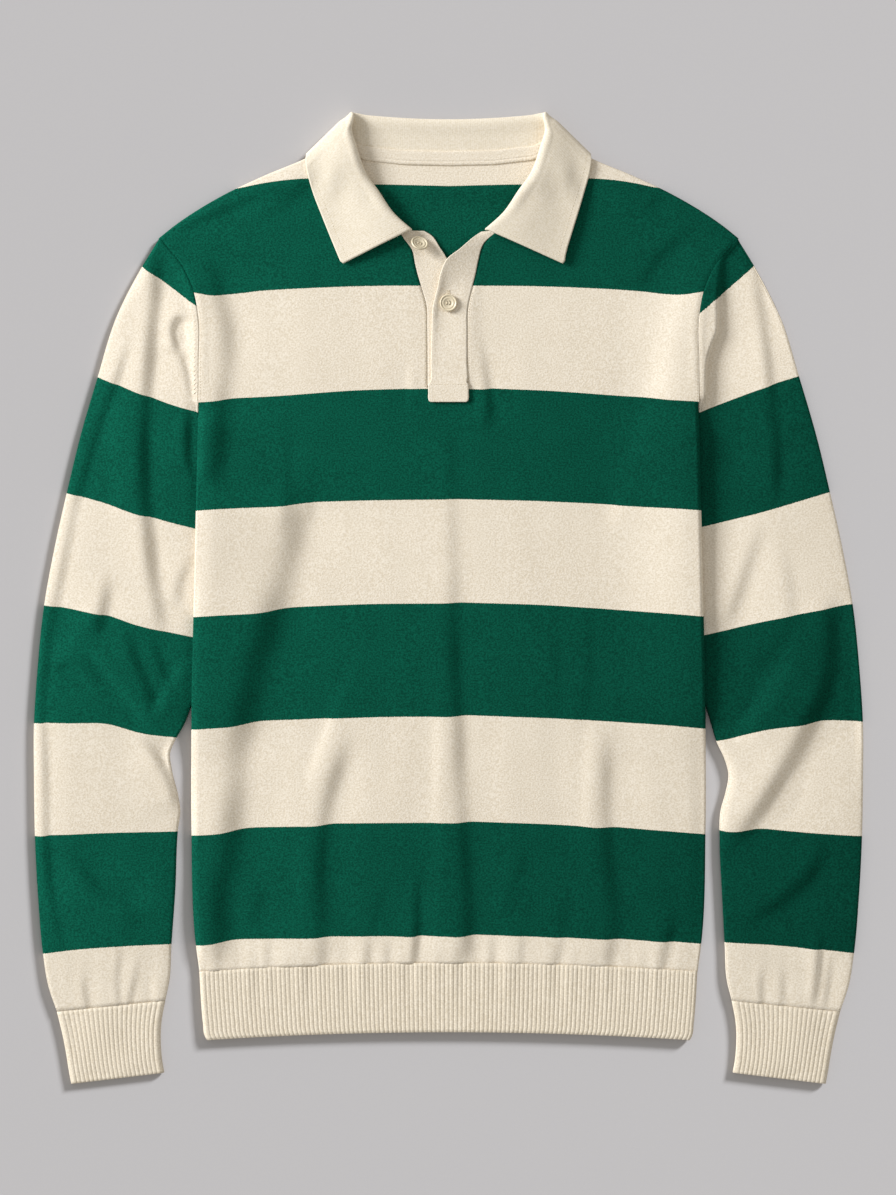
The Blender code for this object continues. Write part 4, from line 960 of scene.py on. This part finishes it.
STAND_TURN = 1.4
FOLD_TURN = 3.5
ROLL = 2.4
CORNER_ROLL = np.array([78.5, 394.9])
CORNER_HEADING = np.array([-0.446, 0.895])
CORNER_OUT = np.array([0.895, 0.446])
EDGE_OUT = np.array([0.685, 0.729])
FRONT_EDGE_OUT = np.array([0.282, 1.107])   # the same inset, measured down the front free edge
FOLD_RAISED = {-1: 2.4, 1: 5.7}             # how far the fold arches off the neck, left and right
EDGE_RAISED = {-1: [0.9, 0.8, 0.6, 0.4, 0.3, 0.2, 0.2], 1: [1.6, 2.1, 2.5, 2.7, 2.5, 1.8, 0.7]}
FRONT_ARCH = {-1: 1.6, 1: 1.4}              # how far the front edges bow off the panel


def collar_section(seam, stand_end, fall_start, heading, roll, edge, stand_power, fall_height):
    """One section: up the stand, round the fold on a half ellipse, and down the fall to its
    free edge."""
    seam, stand_end, fall_start, edge = (np.asarray(p, float) for p in (seam, stand_end, fall_start, edge))
    stand = seam + (stand_end - seam) * STAND_SHARES[:, None]
    stand[:, 2] = seam[2] + (stand_end[2] - seam[2]) * STAND_SHARES ** stand_power
    centre, half = (stand_end + fall_start) / 2, (fall_start - stand_end) / 2
    heading = np.append(heading, 0.0)
    around = centre + np.sin(ROLL_ANGLES)[:, None] * half + roll * np.cos(ROLL_ANGLES)[:, None] * heading
    fall = fall_start + (edge - fall_start) * FALL_SHARES[:, None]
    fall[:, 2] = fall_height(fall[:, 0], fall[:, 1], FALL_SHARES)
    return np.vstack([stand, around, fall])


def resting_on_front(x, y):
    return front_middle(x, y) + BODY_WALL / 2 + FALL_RESTING + COLLAR_WALL / 2


def side_section(number, sign):
    """A section over the front: the fall comes down from the fold to rest on the panel."""
    seam, fold, edge = (np.array(COLLAR[name][number], float) for name in ("seam", "fold", "edge"))
    stand_up, radius = COLLAR["stand_up"][number], COLLAR["radius"][number]
    count = len(COLLAR["seam"])
    edge[0] += RIGHT_EDGE_OUT * (sign > 0) * max(0, 1 - number / RIGHT_EDGE_SECTIONS)
    heading = unit(unit(fold - seam) + unit(fold - edge))
    centre = fold - (radius + COLLAR_WALL / 2) * heading
    start = front_middle(seam[:1] * sign, seam[1:])[0] + stand_up
    arched = FOLD_RAISED[sign] * np.sin(np.pi * (number + 1.2) / (count + 0.2))
    low = start + STAND_TURN * number / count + arched
    high = low + 2 * radius
    spare = high - resting_on_front(centre[:1] * sign, centre[1:])[0]
    arch = FRONT_ARCH[sign] * max(0, 1 - number / 3)

    def height(x, y, share):
        edge_up = EDGE_RAISED[sign][number]
        return (resting_on_front(sign * x, y) + edge_up + (spare - edge_up) * (1 - ease(share, 0, 1))
                + arch * 4 * share * (1 - share))

    return collar_section((*seam, start), (*centre, low), (*centre, high), heading, radius, (*edge, 0), 1.0,
                          height)


def shoulder_section(up, out):
    """A section where the collar turns over the shoulder: up goes from 1 in front to -1 behind,
    and out is how far it stands out there."""
    seam = (*(NECK_CORNER + (CURL * (out - 1) - 0.6) * CORNER_OUT), COLLAR_LIFT + BODY_HEIGHT / 2 + CURL * up)
    stand_end = (*(CORNER_ROLL + STAND_TURN * out * CORNER_OUT), STAND_LEVEL + STAND_TURN * up)
    rise = STAND_TURN + 2 * ROLL if up > 0 else STAND_LEVEL - COLLAR_WALL / 2
    roll = ROLL * (1 - 0.6 * out)
    fall_start = np.array([*(CORNER_ROLL + FOLD_TURN * out * CORNER_OUT), STAND_LEVEL + rise * up])
    turn_out = FALL_TURN * (out - 1) - COLLAR_WALL / 2
    flat = SHOULDER_MIDDLE + FALL_TURN * up
    inwards = EDGE_OUT + (FRONT_EDGE_OUT - EDGE_OUT) * max(up, 0)
    edge = (*(EDGE_CORNER + turn_out * inwards), flat)
    return collar_section(seam, stand_end, fall_start, CORNER_HEADING, roll, edge, 1.5 - 0.5 * up,
                          lambda x, y, share: flat + (fall_start[2] - flat) * (1 - ease(share, 0, 1)))


def back_section(x):
    """A section behind the neck: the stand lies on top, and the fall beneath the back."""
    share = x / CORNER_ROLL[0]
    fold = np.array([x, BACK_FOLD_Y + (CORNER_ROLL[1] + ROLL - BACK_FOLD_Y) * share ** 2])
    seam = np.array([x * 0.98, np.interp(x * 0.98, BACK_NECK["x"], BACK_NECK["y"]) + 0.3])
    edge = np.array([share * 108, np.interp(share * 108, BACK_FALL["x"], BACK_FALL["y"])])
    heading = unit(unit(fold - seam) + np.array([0, 1]))
    centre = fold - (ROLL + COLLAR_WALL / 2) * heading
    low, high = COLLAR_WALL / 2, STAND_LEVEL - STAND_TURN
    return collar_section((*seam, COLLAR_LIFT + BODY_WALL / 2), (*centre, high), (*centre, low), heading,
                          ROLL, (*edge, low), 2.0, lambda x, y, share: np.full(len(share), low))


def collar_side(sign):
    sections = [side_section(number, sign) for number in range(len(COLLAR["seam"]))]
    sections += [shoulder_section(np.cos(turn), np.sin(turn)) for turn in np.radians(SHOULDER_TURNS)]
    sections += [back_section(x) for x in COLLAR_BACK_X]
    return np.array(sections) * np.array([sign, 1, 1])


def refined(grid, step):
    """A smooth surface through a coarse grid: curves along its columns, then along its rows, both
    measured by the mean distance between neighbours, and read about every step."""
    for _ in range(2):
        knots = running(np.linalg.norm(np.diff(grid, axis=0), axis=2).mean(axis=1))
        at = np.concatenate([np.linspace(a, b, max(1, int(np.ceil((b - a) / step))), endpoint=False)
                             for a, b in zip(knots, knots[1:])] + [knots[-1:]])
        grid = curve(at, knots, grid).transpose(1, 0, 2)
    return grid


def run_lengths(grid, axis):
    """How far each point lies along its row or column, and what is left of it."""
    run = running(np.linalg.norm(np.diff(grid, axis=axis), axis=2), axis)
    return run, np.take(run, [-1], axis=axis) - run


def rounded_corners(grid):
    """Softens the fold's turns over the shoulders, by averaging along it, and draws the free edge
    in a little where it turns there and at the two points in front. No point sinks below the floor."""
    along, to_last = run_lengths(grid, 0)
    across, _ = run_lengths(grid, 1)
    turn = np.hypot(np.abs(grid[..., 0]) - CORNER_ROLL[0], grid[..., 1] - CORNER_ROLL[1])
    weight = (0.5 * (1 - ease(turn, *FOLD_SMOOTHED)))[1:-1, :, None]
    for _ in range(SMOOTHINGS):
        grid[1:-1] += weight * ((grid[:-2] + grid[2:]) / 2 - grid[1:-1])
    edge = grid[:, -1]
    at_shoulder = np.hypot(np.abs(edge[:, 0]) - EDGE_CORNER[0], edge[:, 1] - EDGE_CORNER[1])
    from_front = np.minimum(along[:, -1], to_last[:, -1])
    drawn = (CORNER_DRAWN * np.exp(-(at_shoulder / CORNER_DRAWN_OVER) ** 2)
             + POINT_DRAWN * np.exp(-(from_front / POINT_DRAWN_OVER) ** 2))
    length = across[:, -1]
    drawn_in = np.array([read_along(row, run, run * shorter)
                         for row, run, shorter in zip(grid, across, (length - drawn) / length)])
    drawn_in[..., 2] = np.maximum(drawn_in[..., 2], COLLAR_WALL / 2)
    return drawn_in


# The collar's fine ribs, 1.9 mm apart, show as relief and a painted shade in each furrow.
WALE = 1.9 * MM
collar_knit = knit("full-rib collar knit", "#F2E8D6", "#E5D9C2", wale=WALE, relief_strength=0.3)
collar_sections = np.concatenate([collar_side(-1), collar_side(1)[-2::-1]])
collar_surface = rounded_corners(refined(collar_sections, COLLAR_STEP))
from_seam, to_edge = run_lengths(collar_surface, 1)
along_fold, _ = run_lengths(collar_surface, 0)
middle_run = along_fold[:, along_fold.shape[1] // 2]
collar_chart = np.dstack([np.broadcast_to(middle_run[:, None], from_seam.shape), from_seam])
collar = cloth("knitted_collar", collar_surface, COLLAR_WALL, collar_chart, collar_knit)
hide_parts("collar")

# ---- the neck tape ----
# A narrow knitted strip sewn over the back neck seam, lying on the back's inside and the stand,
# with a raised line of chain stitch along its lower edge.

TAPE_WALL = 1.0
# The same cream as the body's pale stripes, with a little less mottle and none of their painted light and
# shade.
placket_knit = knit("doubled cotton jersey", "#F3E9D8", "#E1D4BE")
TAPE_X = np.linspace(-79, 79, 80)
TAPE_Y = [-1, -0.4, 0.6, 1.3, 1.8, 2.4, 3.2, 3.9, 6, 8, 9.5, 10.2]
TAPE_SWELL = [-0.3, 0.0, 0.15, 0.0, -0.25, 0.0, 0.05, -0.05, -0.1, -0.2, -0.3, -0.55]
seam_y = np.interp(np.abs(TAPE_X), BACK_NECK["x"], BACK_NECK["y"])
stand_length = BACK_FOLD_Y - ROLL - COLLAR_WALL / 2 - seam_y
climb = STAND_LEVEL - STAND_TURN - COLLAR_LIFT - BODY_WALL / 2
on_back = COLLAR_LIFT + BODY_WALL
tape_rows = []
for below, swell in zip(TAPE_Y, TAPE_SWELL):
    rise = climb * (max(below, 0) / stand_length) ** 1.6 + 0.1 * ease(below, -1, 3)
    up = on_back + rise + RESTING / 2 + TAPE_WALL / 2 + swell
    tape_rows.append(np.column_stack([TAPE_X, seam_y + below, up]))
tape_grid = np.array(tape_rows)
tape_chart = np.dstack([tape_grid[..., 0], tape_grid[..., 1]])
neck_tape = cloth("neck_seam_tape", tape_grid, TAPE_WALL, tape_chart, placket_knit)
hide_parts("neck_tape")

# ---- the plackets ----
# Two doubled strips of firm jersey sewn into the neck slit: the under one carries the buttons,
# and the top one covers it and ends below the slit in a boxed foot.

PLACKET_WALL = 1.6
LEVEL = BODY_HEIGHT - BODY_WALL / 2
FOOT_LIFT = 0.7
PLACKET_STEP = 1.3                        # spacing of the plackets' grids
PLACKET_RIM = 0.18
UNDER_PLACKET = {
    "seam": [(-41.3, 301.2), (-36, 293.4), (-29.9, 285), (-27.5, 273.8), (-24.8, 263.1), (-22.3, 255),
             (-17.9, 239.4), (-17.3, 220), (-17, 173.6)],
    "free": [(-20, 300.6), (-13.5, 296.4), (-7.2, 287), (-1, 277), (3, 265), (5.5, 255.5), (8, 239.4),
             (8.5, 220), (8.5, 173.6)],
    "seam_up": [0, 0, 0, 0, 0, 0, 0, 0, 0],
    "free_up": [-1.6, -1.6, -1.2, -0.4, 0, 0, 0, 0, 0],
    "rolled": [0, 0, 0, 0, 0, 0, 0, 0, 0],
}
TOP_PLACKET = {
    "seam": [(41.3, 301.2), (31.5, 293.6), (26.7, 286.6), (24.2, 277), (21.7, 264.5), (19.4, 255),
             (15.3, 236.2), (15, 220), (15, 192), (15.1, 177)],
    "free": [(27, 299.6), (20.9, 295.5), (9.1, 285.1), (-1, 277), (-6.6, 264.5), (-8.6, 255), (-12.9, 236.2),
             (-13.5, 220), (-14.2, 192), (-14.6, 177)],
    "seam_up": [-0.3, 0.4, 0.8, 0.9, 1.0, 1.2, 1.5, 1.6, 1.8, 2.2],
    "free_up": [-0.4, 1.8, 4.6, 5.9, 5.2, 4.1, 2.9, 2.2, 2.2, 2.3],
    "rolled": [0, 0, 0, 0.1, 0.5, 1.2, 1.3, 0.7, 0.2, 0],
}
FOOT = [(176.2, 14.9), (175.3, 15.8), (173, 16.3), (168, 16.3), (163, 16.3), (161.3, 15.8), (160.4, 14.4)]
PLACKET_SHARES = np.array([0.0, 0.07, 0.2, 0.45, 0.7, 0.84, 0.94, 0.985, 1.0])
# The free edge's soft roll, with a hollow beside it.
ROLLED_UP = np.array([0, 0, -0.1, -0.55, -0.75, -0.45, 0.2, 0.35, 0.25])


def strip(placket, reach):
    """Rows from the top down, each straight across from the sewn edge to the free edge. Its height
    changes evenly between the two, over a reach of the way across."""
    seam, free = np.array(placket["seam"], float), np.array(placket["free"], float)
    plan = seam[:, None] + (free - seam)[:, None] * PLACKET_SHARES[:, None]
    heights = ("seam_up", "free_up", "rolled")
    seam_up, free_up, rolled = (np.array(placket[key], float)[:, None] for key in heights)
    up = seam_up + (free_up - seam_up) * np.minimum(PLACKET_SHARES / reach, 1) + rolled * ROLLED_UP
    return np.dstack([plan, LEVEL + up])


def placket(name, rows, node):
    grid = refined(rows, PLACKET_STEP)
    made = cloth(name, grid, PLACKET_WALL, grid[..., :2], placket_knit, rim_out=PLACKET_RIM)
    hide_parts(node)
    return made


under_placket = placket("under_placket", strip(UNDER_PLACKET, 0.3)[::-1], "placket_under")
on_front = BODY_HEIGHT + FOOT_LIFT + PLACKET_WALL / 2
foot = [np.column_stack(np.broadcast_arrays(np.interp(PLACKET_SHARES, (0, 1), (half, -half)), y, on_front))
        for y, half in FOOT]
top_placket = placket("top_placket", np.array([*strip(TOP_PLACKET, 1.0), *foot]), "placket_top")

# ---- the buttons ----
# Two shirt buttons cast in cream resin: a raised rounded rim, a dished face and four holes, sewn
# on with cream thread through the under placket.

BUTTON_PROFILE = [(0.0, 1.15), (2.6, 1.15), (3.2, 1.3), (3.8, 1.7), (4.3, 1.85), (4.8, 1.75), (5.2, 1.5),
                  (5.55, 1.75), (6.0, 2.25), (6.4, 2.35), (6.8, 2.1), (7.0, 1.6), (7.0, 1.0), (6.5, 0.3),
                  (5.6, 0.0), (0.0, 0.0)]
HOLE_RADIUS = 0.7
HOLE_OFFSET = 1.15
HOLE_SIDES = 20
BUTTON_SIDES = 64
BUTTON_FOOT = 5.6                         # radius of the ring that the button stands on
BUTTON_LIFT = 1.8                         # the top placket's height beneath the lower button


def turned(profile, sides):
    """A profile of radii and heights turned about Z, straight from point to point; the two
    points on the axis are closed with fans of thin quads."""
    radii, heights = np.array(profile).T
    angle = 2 * np.pi * np.arange(sides) / sides
    radii = np.maximum(radii, 0.02)
    points = np.stack([np.outer(radii, np.cos(angle)), np.outer(radii, np.sin(angle)),
                       np.repeat(heights[:, None], sides, axis=1)], axis=2).reshape(-1, 3)
    index = np.arange(len(radii) * sides).reshape(len(radii), sides)
    after = np.roll(index, -1, axis=1)
    faces = np.stack([index[:-1], index[1:], after[1:], after[:-1]], axis=2).reshape(-1, 4)
    return points, faces


def solid(name, points, faces, material):
    mesh = bpy.data.meshes.new(name)
    mesh.from_pydata((points * MM).tolist(), [], faces)
    mesh.update()
    mesh.materials.append(material)
    made = bpy.data.objects.new(name, mesh)
    bpy.context.scene.collection.objects.link(made)
    return made


# Cast resin has a satin shine, with a faint swirl of paler cream through it.
resin, tree, shader = new_material("cast polyester resin")
place = add(tree, "ShaderNodeTexCoord", {}).outputs["Object"]
swirl = add(tree, "ShaderNodeTexNoise", {"Vector": place, "Scale": 260.0, "Detail": 2.0,
                                         "Distortion": 1.2}).outputs[0]
tone = add(tree, "ShaderNodeMix", {"Factor": swirl, "A": paint("#D8CAAC"), "B": paint("#E6DAC0")},
           data_type="RGBA").outputs["Result"]
tree.links.new(tone, shader.inputs["Base Color"])
shader.inputs["Roughness"].default_value = 0.38
shader.inputs["IOR"].default_value = 1.54

# Spun cotton is as matt as the cloth, with hardly any nap.
thread = knit("cotton sewing thread", "#EBDFC8", "#D3C6AB", fuzz=0.1)


def button(name, centre, tilt, slant, node):
    """The turned disc, with its four holes cut and the cuts kept in the mesh, tilted about X and
    then turned by the slant about Z."""
    points, faces = turned(BUTTON_PROFILE, BUTTON_SIDES)
    ring = list(range(BUTTON_SIDES))
    caps = [[BUTTON_SIDES + corner for corner in ring],
            [len(points) - 2 * BUTTON_SIDES + corner for corner in ring[::-1]]]
    disc = solid(name, points, faces[BUTTON_SIDES:-BUTTON_SIDES].tolist() + caps, resin)
    holes = []
    for sign_x in (-1, 1):
        for sign_y in (-1, 1):
            hole, hole_faces = turned([(HOLE_RADIUS, 4), (HOLE_RADIUS, -2)], HOLE_SIDES)
            hole += np.array([sign_x, sign_y, 0]) * HOLE_OFFSET
            ends = [list(range(HOLE_SIDES)), list(range(HOLE_SIDES, 2 * HOLE_SIDES))[::-1]]
            drill = solid("drill", hole, hole_faces.tolist() + ends, resin)
            cut = disc.modifiers.new("hole", "BOOLEAN")
            cut.operation = "DIFFERENCE"
            cut.solver = "EXACT"
            cut.object = drill
            holes.append(drill)
    bpy.context.view_layer.update()
    made = bpy.data.meshes.new_from_object(disc.evaluated_get(bpy.context.evaluated_depsgraph_get()))
    disc.modifiers.clear()
    disc.data = made
    for drill in holes:
        bpy.data.objects.remove(drill)
    turn = np.array([[1, 0, 0], [0, np.cos(tilt), -np.sin(tilt)], [0, np.sin(tilt), np.cos(tilt)]])
    spin = np.array([[np.cos(slant), -np.sin(slant), 0], [np.sin(slant), np.cos(slant), 0], [0, 0, 1]])
    turn = spin @ turn
    place = np.empty(len(made.vertices) * 3)
    made.vertices.foreach_get("co", place)
    made.vertices.foreach_set("co", (place.reshape(-1, 3) @ turn.T + np.array(centre) * MM).ravel())
    made.shade_smooth()
    made.set_sharp_from_angle(angle=np.radians(40))
    made.update()
    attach(disc, "root")
    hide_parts(node)
    return turn


lower_centre = np.array([-0.1, 241.2, LEVEL + BUTTON_LIFT + PLACKET_WALL / 2 + RESTING])
top_tilt = np.radians(-37)
top_slant = np.radians(-25)
top_centre = np.array([-24.0, 289.2, LEVEL + PLACKET_WALL / 2 + RESTING
                       + abs(np.sin(top_tilt)) * BUTTON_FOOT])
lower_turn = button("lower_button", lower_centre, 0.0, 0.0, "button_lower")
top_turn = button("top_button", top_centre, top_tilt, top_slant, "button_top")


SPINDLE = np.array([(-0.5, 0.25), (-0.32, 0.85), (0, 1.0), (0.32, 0.85), (0.5, 0.25)])
SPINDLE_SIDES = 6


def stitches(name, centres, headings, length, width, material):
    """Short stitches: each is a six-sided spindle along its heading, lying in the surface."""
    headings = unit(headings)
    side = unit(np.cross(headings, np.array([0, 0, 1.0])))
    up = np.cross(side, headings)
    angle = np.radians(np.arange(0, 360, 360 // SPINDLE_SIDES))
    ring = np.stack([np.cos(angle), np.sin(angle)], axis=1)
    base = (SPINDLE[:, 0, None, None, None] * length * headings[None, None]
            + SPINDLE[:, 1, None, None, None] * width / 2
            * (ring[None, :, 0, None, None] * side + ring[None, :, 1, None, None] * up))
    points = (centres + base).transpose(2, 0, 1, 3)
    index = np.arange(len(SPINDLE) * SPINDLE_SIDES).reshape(-1, SPINDLE_SIDES)
    after = np.roll(index, -1, axis=1)
    quads = np.stack([index[:-1], index[1:], after[1:], after[:-1]], axis=2).reshape(-1, 4)
    cap = np.array([[0, 1, 2, 3], [0, 3, 4, 5]])
    one = np.concatenate([quads, cap, index[-1, 0] + cap[:, ::-1]])
    faces = (one[None] + index.size * np.arange(len(points))[:, None, None]).reshape(-1, 4)
    flat = points.reshape(-1, 3)
    made = build(name, flat, faces, flat[faces][..., :2], material)
    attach(made, "root")


def along_path(path, pitch):
    """Places every pitch along a path, with its heading there."""
    run = running(np.linalg.norm(np.diff(path, axis=0), axis=1))
    at = np.arange(pitch / 2, run[-1], pitch)
    centres = read_along(path, run, at)
    return centres, read_along(path, run, at + 0.3) - centres + np.array([1e-6, 0, 0])


thread_places, thread_headings = [], []
for centre, turn in ((lower_centre, lower_turn), (top_centre, top_turn)):
    for sign in (-1, 1):
        thread_places.append(centre + turn @ np.array([sign * HOLE_OFFSET, 0, 1.3]))
        thread_headings.append(turn @ np.array([0, 1.0, 0]))
stitches("button_thread", np.array(thread_places), np.array(thread_headings), 2 * HOLE_OFFSET + 0.9, 0.75,
         thread)

# ---- the seams' stitches ----
# Rows of cream thread: along the collar's edges, beside the plackets' edges and across the foot,
# along the armholes, and the close stitches of the buttonhole.

PITCH = {"collar": 2.6, "placket": 2.2, "armhole": 2.4}
STITCH = 1.5
ARMHOLE_STITCHES_IN = 1.5                 # inside the armhole seam
ARMHOLE_STITCHES_Y = (161, 236)
PLACKET_STITCHES_OUT = 1.3                # outside the placket's sewn edges
PLACKET_STITCHES_Y = (178, 250)
FOOT_STITCHES_Y = 174.6
FOOT_STITCHES_HALF = 15.4
MARKS_Y = (168, 229)
MARKS_OUT = 2.6                           # outside the armhole seam
MARK_PITCH = 3.7
BUTTONHOLE_PITCH = 0.75


def offset_path(grid, run, inside, rows):
    """The path across rows of a grid at a distance inside its far edge."""
    columns = np.array([np.interp(-inside, -run[row], np.arange(grid.shape[1])) for row in rows])
    low = np.floor(columns).astype(int)
    part = (columns - low)[:, None]
    high = np.minimum(low + 1, grid.shape[1] - 1)
    return grid[rows, low] * (1 - part) + grid[rows, high] * part


def sewn_rows(name, paths, pitch, width):
    """Rows of thread stitches along paths, joined into one piece."""
    centres, headings = zip(*(along_path(path, pitch) for path in paths))
    stitches(name, np.concatenate(centres), np.concatenate(headings), STITCH, width, thread)


EDGE_BAND = 5.4                           # how far inside the collar's edge its stitches run
collar_lift = np.array([0, 0, COLLAR_WALL / 2])
rows = np.arange(3, len(collar_surface) - 3)
above = rows[collar_surface[rows, -1, 2] > 7]
halfway = len(collar_surface) / 2
paths = [offset_path(collar_surface, to_edge, EDGE_BAND, part) + collar_lift
         for part in (above[above < halfway], above[above > halfway])]
for row in (3, len(collar_surface) - 4):
    columns = np.flatnonzero((to_edge[row] > EDGE_BAND) & (to_edge[row] < 60))
    paths.append(collar_surface[row, columns] + collar_lift)
sewn_rows("collar_stitches", paths, PITCH["collar"], 0.34)

foot_x = np.linspace(-FOOT_STITCHES_HALF, FOOT_STITCHES_HALF, 40)
foot_line = np.column_stack(np.broadcast_arrays(foot_x, FOOT_STITCHES_Y, on_front + PLACKET_WALL / 2))
edge_paths = []
for side, sign in (("left", -1), ("right", 1)):
    seam_line = np.array(PLACKET_SEWN[side], float)
    along_y = np.linspace(*PLACKET_STITCHES_Y, 60)
    edge_x = sign * (curve(along_y, seam_line[:, 1], seam_line[:, 0]) + PLACKET_STITCHES_OUT)
    edge_paths.append(on_front_cloth(edge_x, along_y))
sewn_rows("placket_stitches", [foot_line, *edge_paths], PITCH["placket"], 0.4)

armhole_y = np.linspace(*ARMHOLE_STITCHES_Y, 60)
armhole_x = curve(armhole_y, ARMHOLE["y"], ARMHOLE["x"]) - ARMHOLE_STITCHES_IN
armhole_paths = [on_front_cloth(sign * armhole_x, armhole_y) for sign in (-1, 1)]
sewn_rows("armhole_stitches", armhole_paths, PITCH["armhole"], 0.4)

# Fashioning marks: a row of slanting stitches beside the left armhole, where the knit was narrowed.
mark_y = np.arange(*MARKS_Y, MARK_PITCH)
mark_x = -(curve(mark_y, ARMHOLE["y"], ARMHOLE["x"]) + MARKS_OUT)
mark_z = np.array([sleeve_top_beside(x, y) for x, y in zip(mark_x, mark_y)])
stitches("fashioning_marks", np.column_stack([mark_x, mark_y, mark_z]),
         np.tile([0.72, 0.68, 0.0], (len(mark_y), 1)), 4.0, 0.6, placket_knit)

HOLE_ENDS = (237.0, 251.6)
hole_y = np.arange(*HOLE_ENDS, BUTTONHOLE_PITCH)
hole_z = lower_centre[2] - RESTING + 0.05
sides = [np.column_stack(np.broadcast_arrays(side, hole_y, hole_z)) for side in (-0.85, 0.75)]
bar = np.array([[x, HOLE_ENDS[1], hole_z + 0.1] for x in (-0.9, -0.1, 0.7)])
buttonhole_centres = np.concatenate([*sides, bar])
buttonhole_headings = np.concatenate([np.tile([1.0, 0.12, 0], (2 * len(hole_y), 1)),
                                      np.tile([0.05, 1.0, 0], (3, 1))])
stitches("buttonhole_stitches", buttonhole_centres, buttonhole_headings, STITCH, 0.5, thread)

# ---- the floor, the light and the camera ----
# A plain pale grey floor, a broad soft lamp from the upper left for the cloth, one from the upper
# right for the floor, and even light all round. The camera looks straight down.

FRAME_HEIGHT = 0.9799
LENS = 85.0
FLOOR_HALF = 4000.0
FLOOR_LEVEL = -0.4
# Uncoated board has no shine at all, and the faintest mottle.
floor_material, tree, shader = new_material("matt pale grey board")
place = add(tree, "ShaderNodeTexCoord", {}).outputs["Object"]
cloudy = add(tree, "ShaderNodeTexNoise", {"Vector": place, "Scale": 900.0, "Detail": 1.0}).outputs[0]
tone = add(tree, "ShaderNodeMix", {"Factor": cloudy, "A": paint("#C3C1C2"), "B": paint("#C6C4C5")},
           data_type="RGBA").outputs["Result"]
tree.links.new(tone, shader.inputs["Base Color"])
shader.inputs["Roughness"].default_value = 1.0
shader.inputs["Specular IOR Level"].default_value = 0.0
points = np.array([(x * FLOOR_HALF, y * FLOOR_HALF, FLOOR_LEVEL)
                   for x, y in ((-1, -1), (1, -1), (1, 1), (-1, 1))])
floor = solid("floor", points, [[0, 1, 2, 3]], floor_material)

scene = bpy.context.scene
floor_only = bpy.data.collections.new("floor only")
floor_only.objects.link(floor)
shirt_only = bpy.data.collections.new("shirt only")
for piece in list(scene.objects):
    if piece.type == "MESH" and piece is not floor:
        shirt_only.objects.link(piece)


def lamp(name, place, size, power, receivers):
    """A square soft lamp, a little cooler than the light all round, aimed at the middle of the shirt."""
    light = bpy.data.lights.new(name, "AREA")
    light.color = (1.0, 1.015, 1.04)
    light.size = size
    light.energy = power
    made = bpy.data.objects.new(name, light)
    made.location = place
    made.rotation_euler = (-made.location).to_track_quat("-Z", "Y").to_euler()
    made.light_linking.receiver_collection = receivers
    scene.collection.objects.link(made)


lamp("soft lamp from the upper left", (-8.05, 3.45, 4.0), 3.2, 1190.0, shirt_only)
lamp("floor lamp from the upper right", (40.0, 36.0, 23.0), 10.0, 44600.0, floor_only)
world = bpy.data.worlds.new("even studio light")
scene.world = world
world.use_nodes = True
world.node_tree.nodes["Background"].inputs["Color"].default_value = (1.0, 0.978, 0.94, 1)
world.node_tree.nodes["Background"].inputs["Strength"].default_value = 0.465
scene.view_settings.view_transform = "Standard"

camera_data = bpy.data.cameras.new("camera")
camera_data.lens = LENS
camera_data.sensor_width = 36.0
camera_data.clip_start = 0.1
camera = bpy.data.objects.new("camera", camera_data)
camera.location = (-0.0004, 0.0, FRAME_HEIGHT * LENS / camera_data.sensor_width + 0.005)
scene.collection.objects.link(camera)
scene.camera = camera
